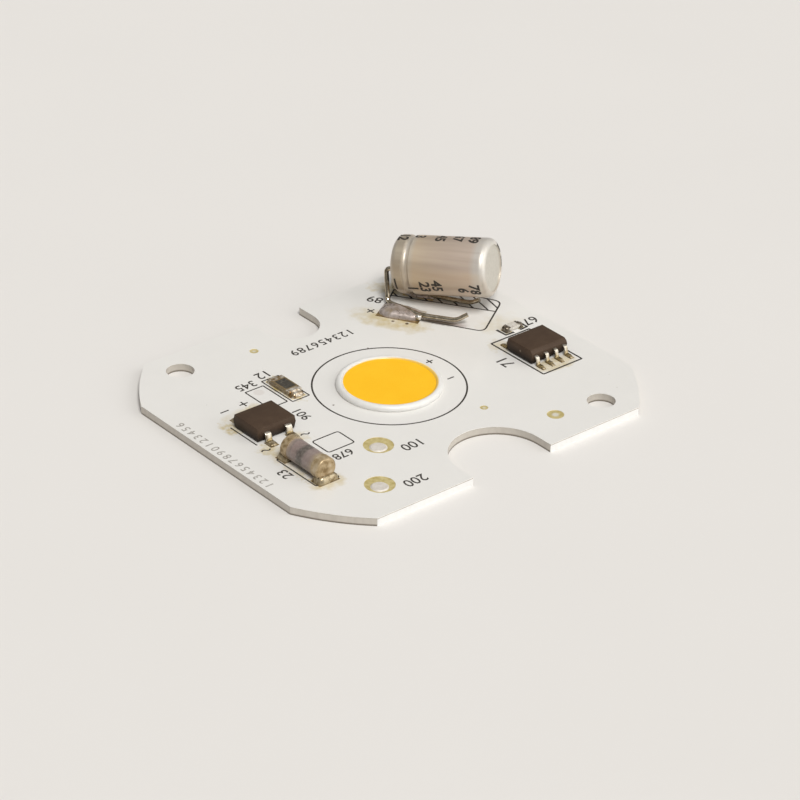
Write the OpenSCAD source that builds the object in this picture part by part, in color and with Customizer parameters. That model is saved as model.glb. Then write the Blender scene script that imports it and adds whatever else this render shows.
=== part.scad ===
// Round-cornered LED lighting module: a chip-on-board light source and its
// mains driver parts on one aluminium-core circuit board.
// The origin is the middle of the board's back face, +Z points to the light.

/* [Board] */
// Length of the board between its two short straight edges
board_x = 44; // [43:0.5:48]
// Width of the board between its two long straight edges
board_y = 37; // [36:0.5:44]
// Diameter of the circle that the four rounded corners lie on
board_d = 50; // [50:0.5:60]
// Thickness of the aluminium base
base_t = 0.75; // [0.5:0.05:2]
// Thickness of the insulating layer on the aluminium
dielectric_t = 0.08; // [0.05:0.01:0.2]
// Thickness of the copper circuit
copper_t = 0.04; // [0.03:0.01:0.12]
// Thickness of the white solder mask over the copper
mask_t = 0.03; // [0.02:0.01:0.06]
// Diameter of the two screw holes
screw_hole_d = 2.9; // [2.2:0.1:3.4]
// Distance from a screw hole's middle to the short edge beside it
screw_edge_x = 7.25; // [6:0.05:9]
// Distance from a screw hole's middle to the long edge beside it
screw_edge_y = 3.25; // [2.6:0.05:4]
// Width of the slot in the front edge
front_slot_w = 10; // [5:0.5:11]
// Depth of the slot in the front edge
front_slot_depth = 6.9; // [5.6:0.1:7.4]
// Width of the slot in the back edge
back_slot_w = 6.2; // [4.6:0.2:8]
// Depth of the slot in the back edge
back_slot_depth = 5.5; // [4.2:0.1:5.6]

/* [Light source] */
// Diameter of the dam's bead circle, across the middle of the bead
dam_mid_d = 10.04; // [9.6:0.02:11]
// Radius of the rounded bead
dam_bead_r = 0.42; // [0.36:0.01:0.5]
// Height of the bead's middle above the board
dam_lift = 0.2; // [0.1:0.01:0.3]
// Height of the phosphor's face above the board
phosphor_h = 0.44; // [0.3:0.02:0.5]
// Length of one LED die
die_l = 0.6; // [0.3:0.05:0.8]
// Width of one LED die
die_w = 0.35; // [0.2:0.05:0.5]
// Thickness of one LED die
die_t = 0.15; // [0.1:0.01:0.2]
// Distance between dies along a row
die_pitch = 1.3; // [1:0.05:2]
// Distance between rows of dies
row_pitch = 1; // [0.7:0.05:1.6]
// Width of the bond wires between the dies
bond_w = 0.04; // [0.02:0.01:0.08]

/* [Capacitor] */
// Diameter of the capacitor over its sleeve
cap_d = 6.25; // [5:0.05:6.5]
// Length of the capacitor over its sleeve
cap_len = 10.5; // [9:0.1:11]
// Thickness of the shrink sleeve
sleeve_t = 0.1; // [0.05:0.01:0.2]
// Wall of the aluminium can
can_t = 0.25; // [0.15:0.01:0.4]
// Rounding of the can's two rims
can_rim_r = 0.55; // [0.3:0.05:0.7]
// Distance from the lead end to the crimp groove
crimp_at = 1.75; // [1.5:0.05:2]
// Radius of the crimping roller that made the groove
crimp_r = 0.5; // [0.3:0.05:0.6]
// Depth of the crimp groove
crimp_depth = 0.3; // [0.1:0.05:0.4]
// Length of the rubber bung in the can
bung_len = 2.5; // [2.3:0.1:3]
// Diameter of the wound foil roll
roll_d = 5; // [3.5:0.1:5.2]
// Diameter of the capacitor's two lead wires
lead_d = 0.5; // [0.4:0.05:0.6]
// Distance between the two leads where they leave the bung
lead_pitch = 2.5; // [2:0.1:3]
// Angle by which the closed end is lifted off the board
cap_tilt = 8.5; // [5:0.5:10]

/* [Rectifier] */
// Length of the rectifier's moulded body
rect_l = 4.7; // [4:0.1:5]
// Width of the rectifier's moulded body
rect_w = 3.9; // [3.4:0.1:4.2]
// Height of the rectifier's moulded body
rect_h = 1.4; // [1:0.05:1.8]
// Distance between the rectifier's neighbouring leads
rect_pitch = 2.54; // [2:0.02:2.8]
// Width of a rectifier lead
rect_lead_w = 0.7; // [0.5:0.05:0.9]

/* [Driver] */
// Length of the driver's moulded body
driver_l = 4.9; // [4.7:0.1:5.2]
// Width of the driver's moulded body
driver_w = 3.9; // [3.6:0.1:4.2]
// Height of the driver's moulded body
driver_h = 1.45; // [1.2:0.05:1.7]
// Distance between the driver's neighbouring leads
driver_pitch = 1.27; // [1.1:0.01:1.27]
// Width of a driver lead
driver_lead_w = 0.42; // [0.3:0.02:0.5]
// Thickness of the lead frame in both moulded packages
frame_t = 0.2; // [0.12:0.02:0.25]
// Reach of every lead outside its moulded body
lead_reach = 1.05; // [0.95:0.05:1.15]
// Length of the foot of every lead
foot_l = 0.6; // [0.4:0.05:0.7]

/* [Fusible resistor] */
// Diameter of the resistor's end caps
fuse_d = 2.4; // [2:0.05:2.6]
// Length of the resistor over its end caps
fuse_len = 5.9; // [5.4:0.1:6.2]
// Length of one end cap
fuse_cap_l = 1; // [0.7:0.05:1.3]
// Wall of an end cap
fuse_cap_t = 0.1; // [0.05:0.01:0.2]

/* [Chip resistors] */
// Length of the sense resistor
sense_l = 3.2; // [3:0.05:3.4]
// Width of the sense resistor
sense_w = 1.6; // [1.4:0.05:1.7]
// Thickness of the sense resistor
sense_t = 0.55; // [0.4:0.05:0.7]
// Length of the bleed resistor
bleed_l = 1.6; // [1.5:0.05:1.8]
// Width of the bleed resistor
bleed_w = 0.85; // [0.7:0.05:0.95]
// Thickness of the bleed resistor
bleed_t = 0.45; // [0.35:0.05:0.55]
// Thickness of a chip resistor's plated ends and of its glaze
plating_t = 0.05; // [0.03:0.01:0.08]

/* [Pads] */
// Diameter of the two pads for the mains wires
wire_pad_d = 3.2; // [2.6:0.1:3.4]
// Diameter of the tinned middle of each of those pads
tinned_d = 1.8; // [1.2:0.1:2]
// Offset of the tinned middle from the pad's own
tinned_shift = 0.4; // [0:0.05:0.5]
// Overlap of the solder mask onto every pad
mask_lap = 0.08; // [0.05:0.01:0.12]
// Thickness of solder between a pad and what stands on it
solder_film = 0.05; // [0.03:0.01:0.08]
// Gap between a solder joint and the mask round its pad
solder_gap = 0.05; // [0.03:0.01:0.08]
// Height of solder on the mains wire pads above the copper
tin_h = 0.1; // [0.06:0.02:0.2]

/* [Places] */
// Distance from the rectifier's middle to the left edge
rect_from_left = 6.95; // [6.5:0.05:7.5]
// Place of the rectifier's middle across the board
rect_y = 1; // [0:0.1:2]
// Distance from the driver's middle to the right edge
driver_from_right = 5.57; // [5:0.05:6]
// Place of the driver's middle across the board
driver_y = -3.8; // [-4.5:0.1:-3]
// Distance from the fusible resistor's middle forward to the rectifier's
fuse_to_rect = 8.45; // [8:0.05:9]
// Offset of the fusible resistor to the left of the rectifier
fuse_left = 1.35; // [0.8:0.05:1.6]
// Distance from the sense resistor's middle to the light source's middle, to the left
sense_left = 8.6; // [8:0.1:9.2]
// The same, to the back
sense_back = 5.95; // [5:0.05:6.5]
// Distance from the bleed resistor's middle back to the driver's
bleed_to_driver = 5.2; // [5:0.05:6]
// Offset of the bleed resistor to the right of the driver's middle
bleed_right = 1.27; // [0.5:0.01:1.5]
// Distance of the inner mains wire pad from the middle, to the left and forward
wire_pad_inner = 8.3; // [8:0.1:9]
// Distance of the outer mains wire pad from the middle, to the left
wire_pad_outer_left = 12.85; // [12:0.05:13.5]
// Distance of the outer mains wire pad from the front edge
wire_pad_from_front = 4.5; // [4:0.1:5]
// Distance from the capacitor's lead end to the right edge
cap_from_right = 8.69; // [8.2:0.01:9.2]
// Distance from the capacitor's lead end to the back edge
cap_from_back = 3.98; // [3.6:0.02:4.4]

/* [Hidden] */

// Heights of the board's layers
copper_z = base_t + dielectric_t;
pad_z = copper_z + copper_t;
top_z = pad_z + mask_t;
seat_z = pad_z + solder_film;

// Places on the board, from its middle or from the edges that they follow
half_x = board_x / 2;
half_y = board_y / 2;
screw_at = [-half_x + screw_edge_x, half_y - screw_edge_y];
rect_at = [-half_x + rect_from_left, rect_y];
driver_at = [half_x - driver_from_right, driver_y];
fuse_at = rect_at - [fuse_left, fuse_to_rect];
sense_at = [-sense_left, sense_back];
bleed_at = driver_at + [bleed_right, bleed_to_driver];
wire_pads_at = [[-wire_pad_inner, -wire_pad_inner],
                [-wire_pad_outer_left, -half_y + wire_pad_from_front]];
test_pads_at = [[-6.4, half_y - 4.58], [4.59, -9.13], [9.29, -half_y + 4.02]];
test_pad_d = [1.1, 1, 1.9];
cap_at = [half_x - cap_from_right, half_y - cap_from_back];
cap_yaw = -60;

// Light source
bead_half_base = sqrt(dam_bead_r * dam_bead_r - dam_lift * dam_lift);
gel_window_r = dam_mid_d / 2 - bead_half_base;
electrode_w = 0.5;
electrode_span = 60;
// Tracks: widths, and the rounding of their corners in track widths
mains_track_w = 1.2;
power_track_w = 0.8;
light_track_w = 0.6;
signal_track_w = 0.5;
track_bend = 1.25;
bond_h = 0.05;

// Capacitor
cap_r = cap_d / 2;
can_r = cap_r - sleeve_t;
can_len = cap_len - 2 * sleeve_t;
bore_r = can_r - can_t;
lip_r = can_r - can_t - can_rim_r;
face_r = cap_r - sleeve_t - can_rim_r;
roll_from = can_t + sleeve_t + bung_len + 0.3;
roll_gap = 0.3;
wire_lift = 0.03;
// The can's lead end rests on the negative lead, which lies on the board
cap_clear = lead_d + wire_lift;
cap_z = top_z + cap_clear + (cap_r - can_rim_r) * cos(cap_tilt)
        + can_rim_r * (1 - sin(cap_tilt));
// Leads beyond the bung: how far they stand out, and how tight they bend
knee_out = 1;
lead_bend = 0.5;
lead_foot_h = 0.35;
// The positive lead, along the can, across it and above the board: where it
// comes down, leaves the solder, kinks, and ends
positive_down = [-0.17, 2.81];
positive_out = [4.15, 4.58];
positive_kink = [7.95, 4.26];
positive_tip = [9, 3.78];
run_h = 0.55;
tip_h = 1.2;
positive_route = [
  [positive_down[0], -positive_down[1], lead_foot_h], [positive_out[0], -positive_out[1], run_h],
  [positive_kink[0], -positive_kink[1], run_h], [positive_tip[0], -positive_tip[1], tip_h]
];
// The negative lead, which is folded back under the can and lies on the board:
// where it comes down, kinks, and ends
negative_down = -0.75;
negative_across = 0.45;
negative_kink = 7.95;
negative_tip = 8.85;
negative_tip_h = 0.82;
negative_h = lead_d / 2 + wire_lift;
negative_route = [
  [negative_down, negative_across, negative_h], [negative_kink, negative_across, negative_h],
  [negative_tip, negative_across, negative_tip_h]
];
// Pads of the capacitor: middle along and across the can, length, width
positive_pad = [1.8, -4.1, 4.9, 3.1];
negative_pad = [2.2, 0.55, 3.6, 1.7];
blob_h = 0.7;
blob_tip = 0.62;

// Moulded packages
body_lift = 0.12;
draft = 8;
stub_l = 0.5;
parting = 0.55;
leg_bend = 0.16;
pad_toe = 0.45;
pad_heel = 0.35;
rect_joint_h = 0.28;
driver_joint_h = 0.22;

// Fusible resistor
fuse_waist = 0.06;
fuse_round = 0.3;
fuse_joint_h = 0.75;
fuse_z = seat_z + fuse_d / 2;

// Chip resistors: share of the length that each plated end takes, and the
// heights of the solder at their first and second ends
terminal_share = 0.16;
sense_joint_h = [0.5, 0.45];
bleed_joint_h = [0.6, 0.5];

// Cut corner of a solder joint's foot, as a share of its width
joint_corner = 0.18;

// ---- Shared shapes ----

function unit(v) = v / norm(v);

// A path with its inner corners rounded, r along each leg, in n steps
function bend(p, r, n) = [
  p[0],
  for (i = [1:len(p) - 2])
    let (a = p[i] + r * unit(p[i - 1] - p[i]), b = p[i] + r * unit(p[i + 1] - p[i]))
    each [for (k = [0:n]) let (t = k / n) (1 - t) * (1 - t) * a + 2 * t * (1 - t) * p[i] + t * t * b],
  p[len(p) - 1]
];

// Direction of a path at point i
function heading(p, i) = unit(p[min(i + 1, len(p) - 1)] - p[max(i - 1, 0)]);

// A flat strip of thickness t that follows a path
module strip(p, t) {
  left = [for (i = [0:len(p) - 1]) let (h = heading(p, i)) p[i] + t / 2 * [-h[1], h[0]]];
  right = [for (i = [len(p) - 1:-1:0]) let (h = heading(p, i)) p[i] - t / 2 * [-h[1], h[0]]];
  polygon(concat(left, right));
}

// A round wire that follows a path in space; side is never along the path
module wire(p, d, side, sides = 12) {
  n = len(p);
  points = [
    for (i = [0:n - 1])
      let (h = heading(p, i), a = unit(cross(h, side)), b = cross(h, a))
      for (k = [0:sides - 1])
        p[i] + d / 2 * (cos(360 * k / sides) * a + sin(360 * k / sides) * b)
  ];
  walls = [
    for (i = [0:n - 2])
      for (k = [0:sides - 1])
        let (m = (k + 1) % sides, a = i * sides, b = a + sides)
        each [[a + k, b + k, b + m], [a + k, b + m, a + m]]
  ];
  caps = [[for (k = [0:sides - 1]) k], [for (k = [sides - 1:-1:0]) (n - 1) * sides + k]];
  polyhedron(points, concat(walls, caps));
}

// A rounded mound of solder: an outline that closes in as it rises
module mound(outline, h, steps = 4, top = 0.25) {
  n = len(outline);
  mid = [for (c = [0, 1]) [for (q = outline) q[c]] * [for (q = outline) 1] / n];
  points = [
    for (k = [0:steps])
      let (a = 90 * k / steps, f = top + (1 - top) * pow(cos(a), 0.8), z = h * sin(a))
      for (q = outline) [mid[0] + f * (q[0] - mid[0]), mid[1] + f * (q[1] - mid[1]), z]
  ];
  walls = [
    for (k = [0:steps - 1])
      for (i = [0:n - 1])
        let (m = (i + 1) % n, a = k * n, b = a + n)
        each [[a + i, b + m, a + m], [a + i, b + i, b + m]]
  ];
  caps = [[for (i = [0:n - 1]) i], [for (i = [n - 1:-1:0]) steps * n + i]];
  polyhedron(points, concat(walls, caps));
}

// Foot of a solder joint in the mask's window over a pad, its corners cut
function joint_outline(pad_size) = let (
    l = pad_size[0] - 2 * (mask_lap + solder_gap), w = pad_size[1] - 2 * (mask_lap + solder_gap),
    c = joint_corner * min(l, w)
  ) [[l / 2, -w / 2 + c], [l / 2, w / 2 - c], [l / 2 - c, w / 2], [c - l / 2, w / 2],
     [-l / 2, w / 2 - c], [-l / 2, c - w / 2], [c - l / 2, -w / 2], [l / 2 - c, -w / 2]];

// Half section of a turned can: length along Y, rims rounded by r
module can_section(radius, l, r) {
  square([radius - r, l]);
  translate([0, r]) square([radius, l - 2 * r]);
  for (y = [r, l - r]) translate([radius - r, y]) circle(r, $fn = 48);
}

module slab(z, t) {
  translate([0, 0, z]) linear_extrude(t) children();
}

// ---- Board ----

module slot_outline(w, depth, edge) {
  translate([0, edge - depth + w / 2]) circle(d = w, $fn = 96);
  translate([-w / 2, edge - depth + w / 2]) square([w, depth]);
}

module screw_holes() {
  for (side = [-1, 1]) translate(side * screw_at) circle(d = screw_hole_d, $fn = 64);
}

module board_outline() {
  difference() {
    intersection() {
      square([board_x, board_y], center = true);
      circle(d = board_d, $fn = 180);
    }
    rotate(180) slot_outline(front_slot_w, front_slot_depth, board_y / 2);
    slot_outline(back_slot_w, back_slot_depth, board_y / 2);
    screw_holes();
  }
}

module aluminium_base() {
  color([0.78, 0.78, 0.77]) slab(0, base_t) board_outline();
}

module dielectric_layer() {
  color([0.86, 0.84, 0.78]) slab(base_t, dielectric_t) board_outline();
}

module pad(at, l, w, lap) {
  translate(at) square([l - 2 * lap, w - 2 * lap], center = true);
}

module round_pad(at, d, lap) {
  translate(at) circle(d = d - 2 * lap, $fn = 48);
}

// Places a shape in the plane of the board, in line with the capacitor
module beside_cap() {
  translate(cap_at) rotate(cap_yaw) children();
}

// Where the feet of a two-row package stand: middle of each pad
function foot_y(w) = w / 2 + lead_reach - foot_l / 2;
foot_pad_l = foot_l + pad_toe + pad_heel;

module package_pads(at, w, pitch, count, pad_w, lap) {
  for (side = [-1, 1], i = [0:count - 1])
    pad(at + [(i - (count - 1) / 2) * pitch, side * (foot_y(w) + (pad_toe - pad_heel) / 2)],
        pad_w, foot_pad_l, lap);
}

// How far the pads stand out beyond what is soldered to them
rect_pad_w = rect_lead_w + 0.5;
driver_pad_w = driver_lead_w + 0.24;
sense_pad = [sense_w + 0.2, 1.3];
fuse_pad = [fuse_d + 0.3, fuse_cap_l + 0.7];
bleed_pad = [0.95, bleed_w + 0.35];
sense_pad_out = 0.1;
fuse_pad_out = 0.25;
bleed_pad_out = 0.05;

// Middles of the pads of each two-ended part, from the part's middle
sense_end = sense_l / 2 + sense_pad_out;
fuse_end = (fuse_len - fuse_cap_l) / 2 + fuse_pad_out;
bleed_end = bleed_l / 2 + bleed_pad_out;

// All the pads, each pulled in by lap
module pads(lap) {
  package_pads(rect_at, rect_w, rect_pitch, 2, rect_pad_w, lap);
  package_pads(driver_at, driver_w, driver_pitch, 4, driver_pad_w, lap);
  for (s = [-1, 1]) {
    pad(sense_at + [0, s * sense_end], sense_pad[0], sense_pad[1], lap);
    pad(fuse_at + [0, s * fuse_end], fuse_pad[0], fuse_pad[1], lap);
    pad(bleed_at + [s * bleed_end, 0], bleed_pad[0], bleed_pad[1], lap);
  }
  for (p = [positive_pad, negative_pad])
    beside_cap() pad([p[0], p[1]], p[2], p[3], lap);
  for (at = wire_pads_at) round_pad(at, wire_pad_d, lap);
  for (i = [0:len(test_pads_at) - 1]) round_pad(test_pads_at[i], test_pad_d[i], lap);
}

// Two curved electrodes inside the dam, at the ends of the rows of dies
module electrodes() {
  r = gel_window_r;
  for (side = [0, 180])
    rotate(side) intersection() {
      difference() {
        circle(r, $fn = 96);
        circle(r - electrode_w, $fn = 96);
      }
      polygon([[0, 0], 2 * r * [cos(electrode_span / 2), -sin(electrode_span / 2)],
               2 * r * [cos(electrode_span / 2), sin(electrode_span / 2)]]);
    }
}

// A copper track of width w along a path, with its corners rounded
module track(p, w) {
  strip(bend(p, track_bend * w, 4), w);
}

function cap_point(p) = cap_at + [p[0] * cos(cap_yaw) - p[1] * sin(cap_yaw),
                                  p[0] * sin(cap_yaw) + p[1] * cos(cap_yaw)];

module tracks() {
  r = gel_window_r - electrode_w / 2;
  rect_feet = [rect_pitch / 2, foot_y(rect_w) + (pad_toe - pad_heel) / 2];
  driver_feet = [1.5 * driver_pitch, foot_y(driver_w) + (pad_toe - pad_heel) / 2];
  supply = cap_point(positive_pad);
  // mains wire pads to the fusible resistor and the rectifier
  track([wire_pads_at[1], [fuse_at[0], wire_pads_at[1][1] + 0.5], fuse_at - [0, fuse_end]], mains_track_w);
  track([fuse_at + [0, fuse_end], rect_at - rect_feet], power_track_w);
  track([wire_pads_at[0], rect_at + [rect_feet[0] + 1, -5], rect_at + [rect_feet[0], -rect_feet[1]]],
        power_track_w);
  // rectified supply to the sense resistor and the capacitor
  track([rect_at + rect_feet, sense_at + [-1.4, 4.55], supply + [-2.6, 0.9], supply], power_track_w);
  track([sense_at + [0, sense_end], sense_at + [0, 3.65], test_pads_at[0]], light_track_w);
  track([sense_at - [0, sense_end], sense_at + [1.7, -4.75], [-r, 0]], light_track_w);
  // light source to the driver, and the driver to the bleed resistor and the test pads
  track([[r, 0], [r + 3, -1.2], driver_at - driver_feet - [3.4, 0], driver_at - driver_feet], light_track_w);
  track([driver_at + [-driver_feet[0], driver_feet[1]], driver_at + [-driver_feet[0], driver_feet[1] + 1.6],
         bleed_at - [bleed_end + 1.35, 0], bleed_at - [bleed_end, 0]], signal_track_w);
  track([driver_at + [driver_feet[0], -driver_feet[1]], driver_at + [1.17, -5.8], test_pads_at[2]],
        power_track_w);
  track([test_pads_at[1], test_pads_at[2]], light_track_w);
  // the capacitor's negative pad to the driver
  track([cap_point(negative_pad), [half_x - 1.7, driver_at[1] + 11.5], [half_x - 1.7, driver_at[1] + 5],
         driver_at + driver_feet], light_track_w);
}

module copper_plan() {
  electrodes();
  difference() {
    union() {
      pads(0);
      tracks();
    }
    circle(gel_window_r - electrode_w / 2, $fn = 96);
  }
}

module copper_circuit() {
  color([0.80, 0.68, 0.30]) slab(copper_z, copper_t) copper_plan();
}

module solder_mask() {
  color([0.95, 0.94, 0.92])
    difference() {
      slab(copper_z, copper_t + mask_t) board_outline();
      slab(copper_z, copper_t) {
        pads(0);
        tracks();
      }
      slab(copper_z, 2 * (copper_t + mask_t)) circle(gel_window_r, $fn = 96);
      slab(pad_z, 2 * mask_t) pads(mask_lap);
    }
}

// ---- Light source ----

module bead_section() {
  intersection() {
    translate([dam_mid_d / 2, top_z + dam_lift]) circle(dam_bead_r, $fn = 64);
    translate([0, top_z]) square([dam_mid_d, 2 * dam_bead_r + dam_lift]);
  }
}

module dam_ring() {
  color([0.95, 0.93, 0.88]) rotate_extrude($fn = 120) bead_section();
}

// Middles of the dies: full rows inside the electrodes
die_limit = gel_window_r - electrode_w - die_l / 2 - 0.1;
row_count = floor(die_limit / row_pitch);
function row_half(y) = sqrt(die_limit * die_limit - y * y);
function row_steps(y) = floor(row_half(y) / die_pitch);
die_rows = [for (j = [-row_count:row_count]) j * row_pitch];

module each_die() {
  for (y = die_rows, i = [-row_steps(y):row_steps(y)])
    translate([i * die_pitch, y, copper_z]) children();
}

module led_dies() {
  color([0.55, 0.65, 0.80])
    each_die() translate([-die_l / 2, -die_w / 2, 0]) cube([die_l, die_w, die_t]);
}

module bond_wires() {
  landing = die_l / 4;
  color([0.90, 0.75, 0.35])
    for (y = die_rows) {
      n = row_steps(y);
      for (i = [-n:1:n - 1])
        translate([i * die_pitch + landing, y - bond_w / 2, copper_z + die_t])
          cube([die_pitch - 2 * landing, bond_w, bond_h]);
      // from the last dies of the row down to the electrodes
      for (s = [-1, 1])
        if (abs(y) < (gel_window_r - electrode_w / 2) * sin(electrode_span / 2) - bond_w) {
          reach = sqrt(pow(gel_window_r - electrode_w / 2, 2) - y * y);
          from = n * die_pitch + landing;
          mirror([s < 0 ? 1 : 0, 0, 0]) {
            translate([from, y - bond_w / 2, copper_z + die_t])
              cube([reach - from, bond_w, bond_h]);
            translate([reach, y - bond_w / 2, pad_z])
              cube([bond_h, bond_w, copper_z + die_t + bond_h - pad_z]);
          }
        }
    }
}

module phosphor_gel() {
  color([0.98, 0.78, 0.25])
    difference() {
      rotate_extrude($fn = 120)
        difference() {
          union() {
            translate([0, copper_z]) square([gel_window_r, top_z - copper_z]);
            translate([0, top_z]) square([dam_mid_d / 2, phosphor_h]);
          }
          bead_section();
        }
      slab(copper_z, copper_t) electrodes();
      led_dies();
      bond_wires();
    }
}

// ---- Capacitor ----

// Places a shape turned about Z in line with the tilted capacitor
module as_cap() {
  translate([cap_at[0], cap_at[1], cap_z]) rotate([0, -cap_tilt, cap_yaw])
    rotate([0, 90, 0]) children();
}

groove_mid = [can_r - crimp_depth + crimp_r, crimp_at];

module turned() {
  rotate_extrude($fn = 96) children();
}

// Outside of the can, with the crimp groove rolled in
module can_outside() {
  difference() {
    translate([0, sleeve_t]) can_section(can_r, can_len, can_rim_r);
    translate(groove_mid) circle(crimp_r, $fn = 48);
  }
}

module capacitor_can() {
  color([0.80, 0.79, 0.76]) as_cap() turned() difference() {
    can_outside();
    can_hollow();
    square([lip_r, can_t + 2 * sleeve_t]);
  }
}

// Hollow of the can, narrowed by the groove
module can_hollow() {
  difference() {
    translate([0, sleeve_t + can_t])
      can_section(bore_r, can_len - 2 * can_t, can_rim_r - can_t);
    translate(groove_mid) circle(crimp_r + can_t, $fn = 48);
  }
}

module capacitor_sleeve() {
  color([0.75, 0.74, 0.70, 0.5]) as_cap() turned() difference() {
    can_section(cap_r, cap_len, can_rim_r + sleeve_t);
    can_outside();
    translate(groove_mid) circle(crimp_r - sleeve_t, $fn = 48);
    for (y = [-1, cap_len - sleeve_t]) translate([0, y]) square([face_r, 1 + sleeve_t]);
  }
}

module capacitor_bung() {
  color([0.20, 0.19, 0.18]) as_cap() difference() {
    turned() {
      intersection() {
        can_hollow();
        translate([0, sleeve_t + can_t]) square([can_r, bung_len]);
      }
      square([lip_r, sleeve_t + 2 * can_t]);
    }
    for (s = [-1, 1]) translate([0, s * lead_pitch / 2, -1]) cylinder(h = bung_len + 3, d = lead_d, $fn = 48);
  }
}

module capacitor_roll() {
  color([0.60, 0.55, 0.45]) as_cap()
    translate([0, 0, roll_from]) difference() {
      cylinder(h = can_len + sleeve_t - can_t - roll_gap - roll_from, d = roll_d, $fn = 96);
      translate([0, 0, -1]) cylinder(h = can_len + 2, d = 0.8, $fn = 32);
    }
}

// Full path of a lead, from the roll through the bung to the board
function lead_path(route, s) = bend(concat(
  [[roll_from * cos(cap_tilt), s * lead_pitch / 2, cap_z + roll_from * sin(cap_tilt)],
   [-knee_out * cos(cap_tilt), s * lead_pitch / 2, cap_z - knee_out * sin(cap_tilt)]],
  [for (q = route) [q[0], q[1], top_z + q[2]]]), lead_bend, 6);

module capacitor_lead_positive() {
  color([0.62, 0.55, 0.45]) beside_cap()
    wire(lead_path(positive_route, -1), lead_d, [0, 0.76, -0.65]);
}

module capacitor_lead_negative() {
  color([0.62, 0.55, 0.45]) beside_cap()
    wire(lead_path(negative_route, 1), lead_d, [0, 0.76, 0.65]);
}

// Outline of the solder on a capacitor pad: wide where the lead comes down
function blob_outline(p, taper) = let (
    l = p[2] - 2 * (mask_lap + solder_gap), w = p[3] - 2 * (mask_lap + solder_gap),
    corners = [[l / 2, -w / 2 * taper], [l / 2, w / 2 * taper], [-l * 0.2, w / 2],
               [-l / 2, w * 0.3], [-l / 2, -w * 0.3], [-l * 0.2, -w / 2]]
  ) [for (i = [0:5]) let (a = corners[(i + 5) % 6], b = corners[i], c = corners[(i + 1) % 6])
       each [for (t = [0, 0.5, 1])
         let (m = b + 0.25 * (a - b), q = b + 0.25 * (c - b))
         (1 - t) * (1 - t) * m + 2 * t * (1 - t) * b + t * t * q]];

module blob(p, taper, h) {
  translate([p[0], p[1], pad_z]) mound(blob_outline(p, taper), h, 6, 0.3);
}

module capacitor_solder_positive() {
  color([0.72, 0.66, 0.64]) difference() {
    beside_cap() blob(positive_pad, blob_tip, blob_h);
    capacitor_lead_positive();
  }
}

module capacitor_solder_negative() {
  color([0.72, 0.66, 0.64]) difference() {
    beside_cap() blob(negative_pad, blob_tip, 0.6 * blob_h);
    capacitor_lead_negative();
  }
}

// ---- Moulded packages ----

// Moulded body: drafted above and below the parting line
module moulded(l, w, h, chamfer = 0) {
  line_z = h * parting;
  low = line_z * tan(draft);
  high = (h - line_z) * tan(draft);
  function ring(inset, z, cut) = [
    [l / 2 - inset, -w / 2 + inset + cut, z], [l / 2 - inset, w / 2 - inset, z],
    [-l / 2 + inset, w / 2 - inset, z], [-l / 2 + inset, -w / 2 + inset + cut, z]
  ];
  rings = concat(
    [ring(low, 0, 0), ring(0, line_z, 0)],
    chamfer > 0 ? [ring((high * (h - line_z - chamfer)) / (h - line_z), h - chamfer, 0)] : [],
    [ring(high, h, chamfer)]);
  n = len(rings);
  walls = [for (k = [0:n - 2], i = [0:3]) let (m = (i + 1) % 4, a = 4 * k, b = a + 4)
             each [[a + i, b + i, b + m], [a + i, b + m, a + m]]];
  polyhedron([for (r = rings) each r], concat(walls, [[0, 1, 2, 3]], [[for (i = [3:-1:0]) 4 * n - 4 + i]]));
}

// Side path of a gull-wing lead, from inside the body to its toe
function wing_path(w, h) = let (
    out = w / 2 + lead_reach, shoulder = w / 2 + 0.22, heel = out - foot_l,
    high = top_z + body_lift + h * parting, low = seat_z + frame_t / 2
  ) bend([[w / 2 - stub_l, high], [shoulder, high], [heel, low], [out, low]], leg_bend, 4);

// One lead of a package; leads count up round the package from the front left
module wing_lead(at, i, count, w, h, pitch, lead_w) {
  front = i <= count / 2;
  place = front ? i - 1 : count - i;
  translate([at[0] + (place - (count / 2 - 1) / 2) * pitch, at[1], 0])
    mirror([0, front ? 1 : 0, 0])
      translate([-lead_w / 2, 0, 0]) rotate([90, 0, 90])
        linear_extrude(lead_w) strip(wing_path(w, h), frame_t);
}

module foot_solder(at, w, pitch, count, pad_w, joint_h) {
  for (side = [-1, 1], i = [0:count - 1])
    translate([at[0] + (i - (count - 1) / 2) * pitch,
               at[1] + side * (foot_y(w) + (pad_toe - pad_heel) / 2), pad_z])
      mound(joint_outline([pad_w, foot_pad_l]), joint_h, 3, 0.35);
}

module rectifier_lead(i) {
  color([0.82, 0.80, 0.76]) wing_lead(rect_at, i, 4, rect_w, rect_h, rect_pitch, rect_lead_w);
}

module rectifier_leads() {
  for (i = [1:4]) rectifier_lead(i);
}

rect_die = [1.1, 0.9, 0.25];

module rectifier_dies() {
  color([0.35, 0.36, 0.40])
    for (x = [-1, 1], y = [-1, 1])
      translate([rect_at[0] + x * rect_pitch / 2 - rect_die[0] / 2,
                 rect_at[1] + y * (rect_w / 2 - stub_l - rect_die[1] / 2) - rect_die[1] / 2,
                 top_z + body_lift + rect_h * parting - rect_die[2] / 2])
        cube(rect_die);
}

module rectifier_body() {
  color([0.30, 0.26, 0.22]) difference() {
    translate([rect_at[0], rect_at[1], top_z + body_lift]) moulded(rect_l, rect_w, rect_h);
    rectifier_leads();
    rectifier_dies();
  }
}

module rectifier_solder() {
  color([0.80, 0.79, 0.77]) difference() {
    foot_solder(rect_at, rect_w, rect_pitch, 2, rect_pad_w, rect_joint_h);
    rectifier_leads();
  }
}

module driver_lead(i) {
  color([0.82, 0.80, 0.76]) wing_lead(driver_at, i, 8, driver_w, driver_h, driver_pitch, driver_lead_w);
}

module driver_leads() {
  for (i = [1:8]) driver_lead(i);
}

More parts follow.
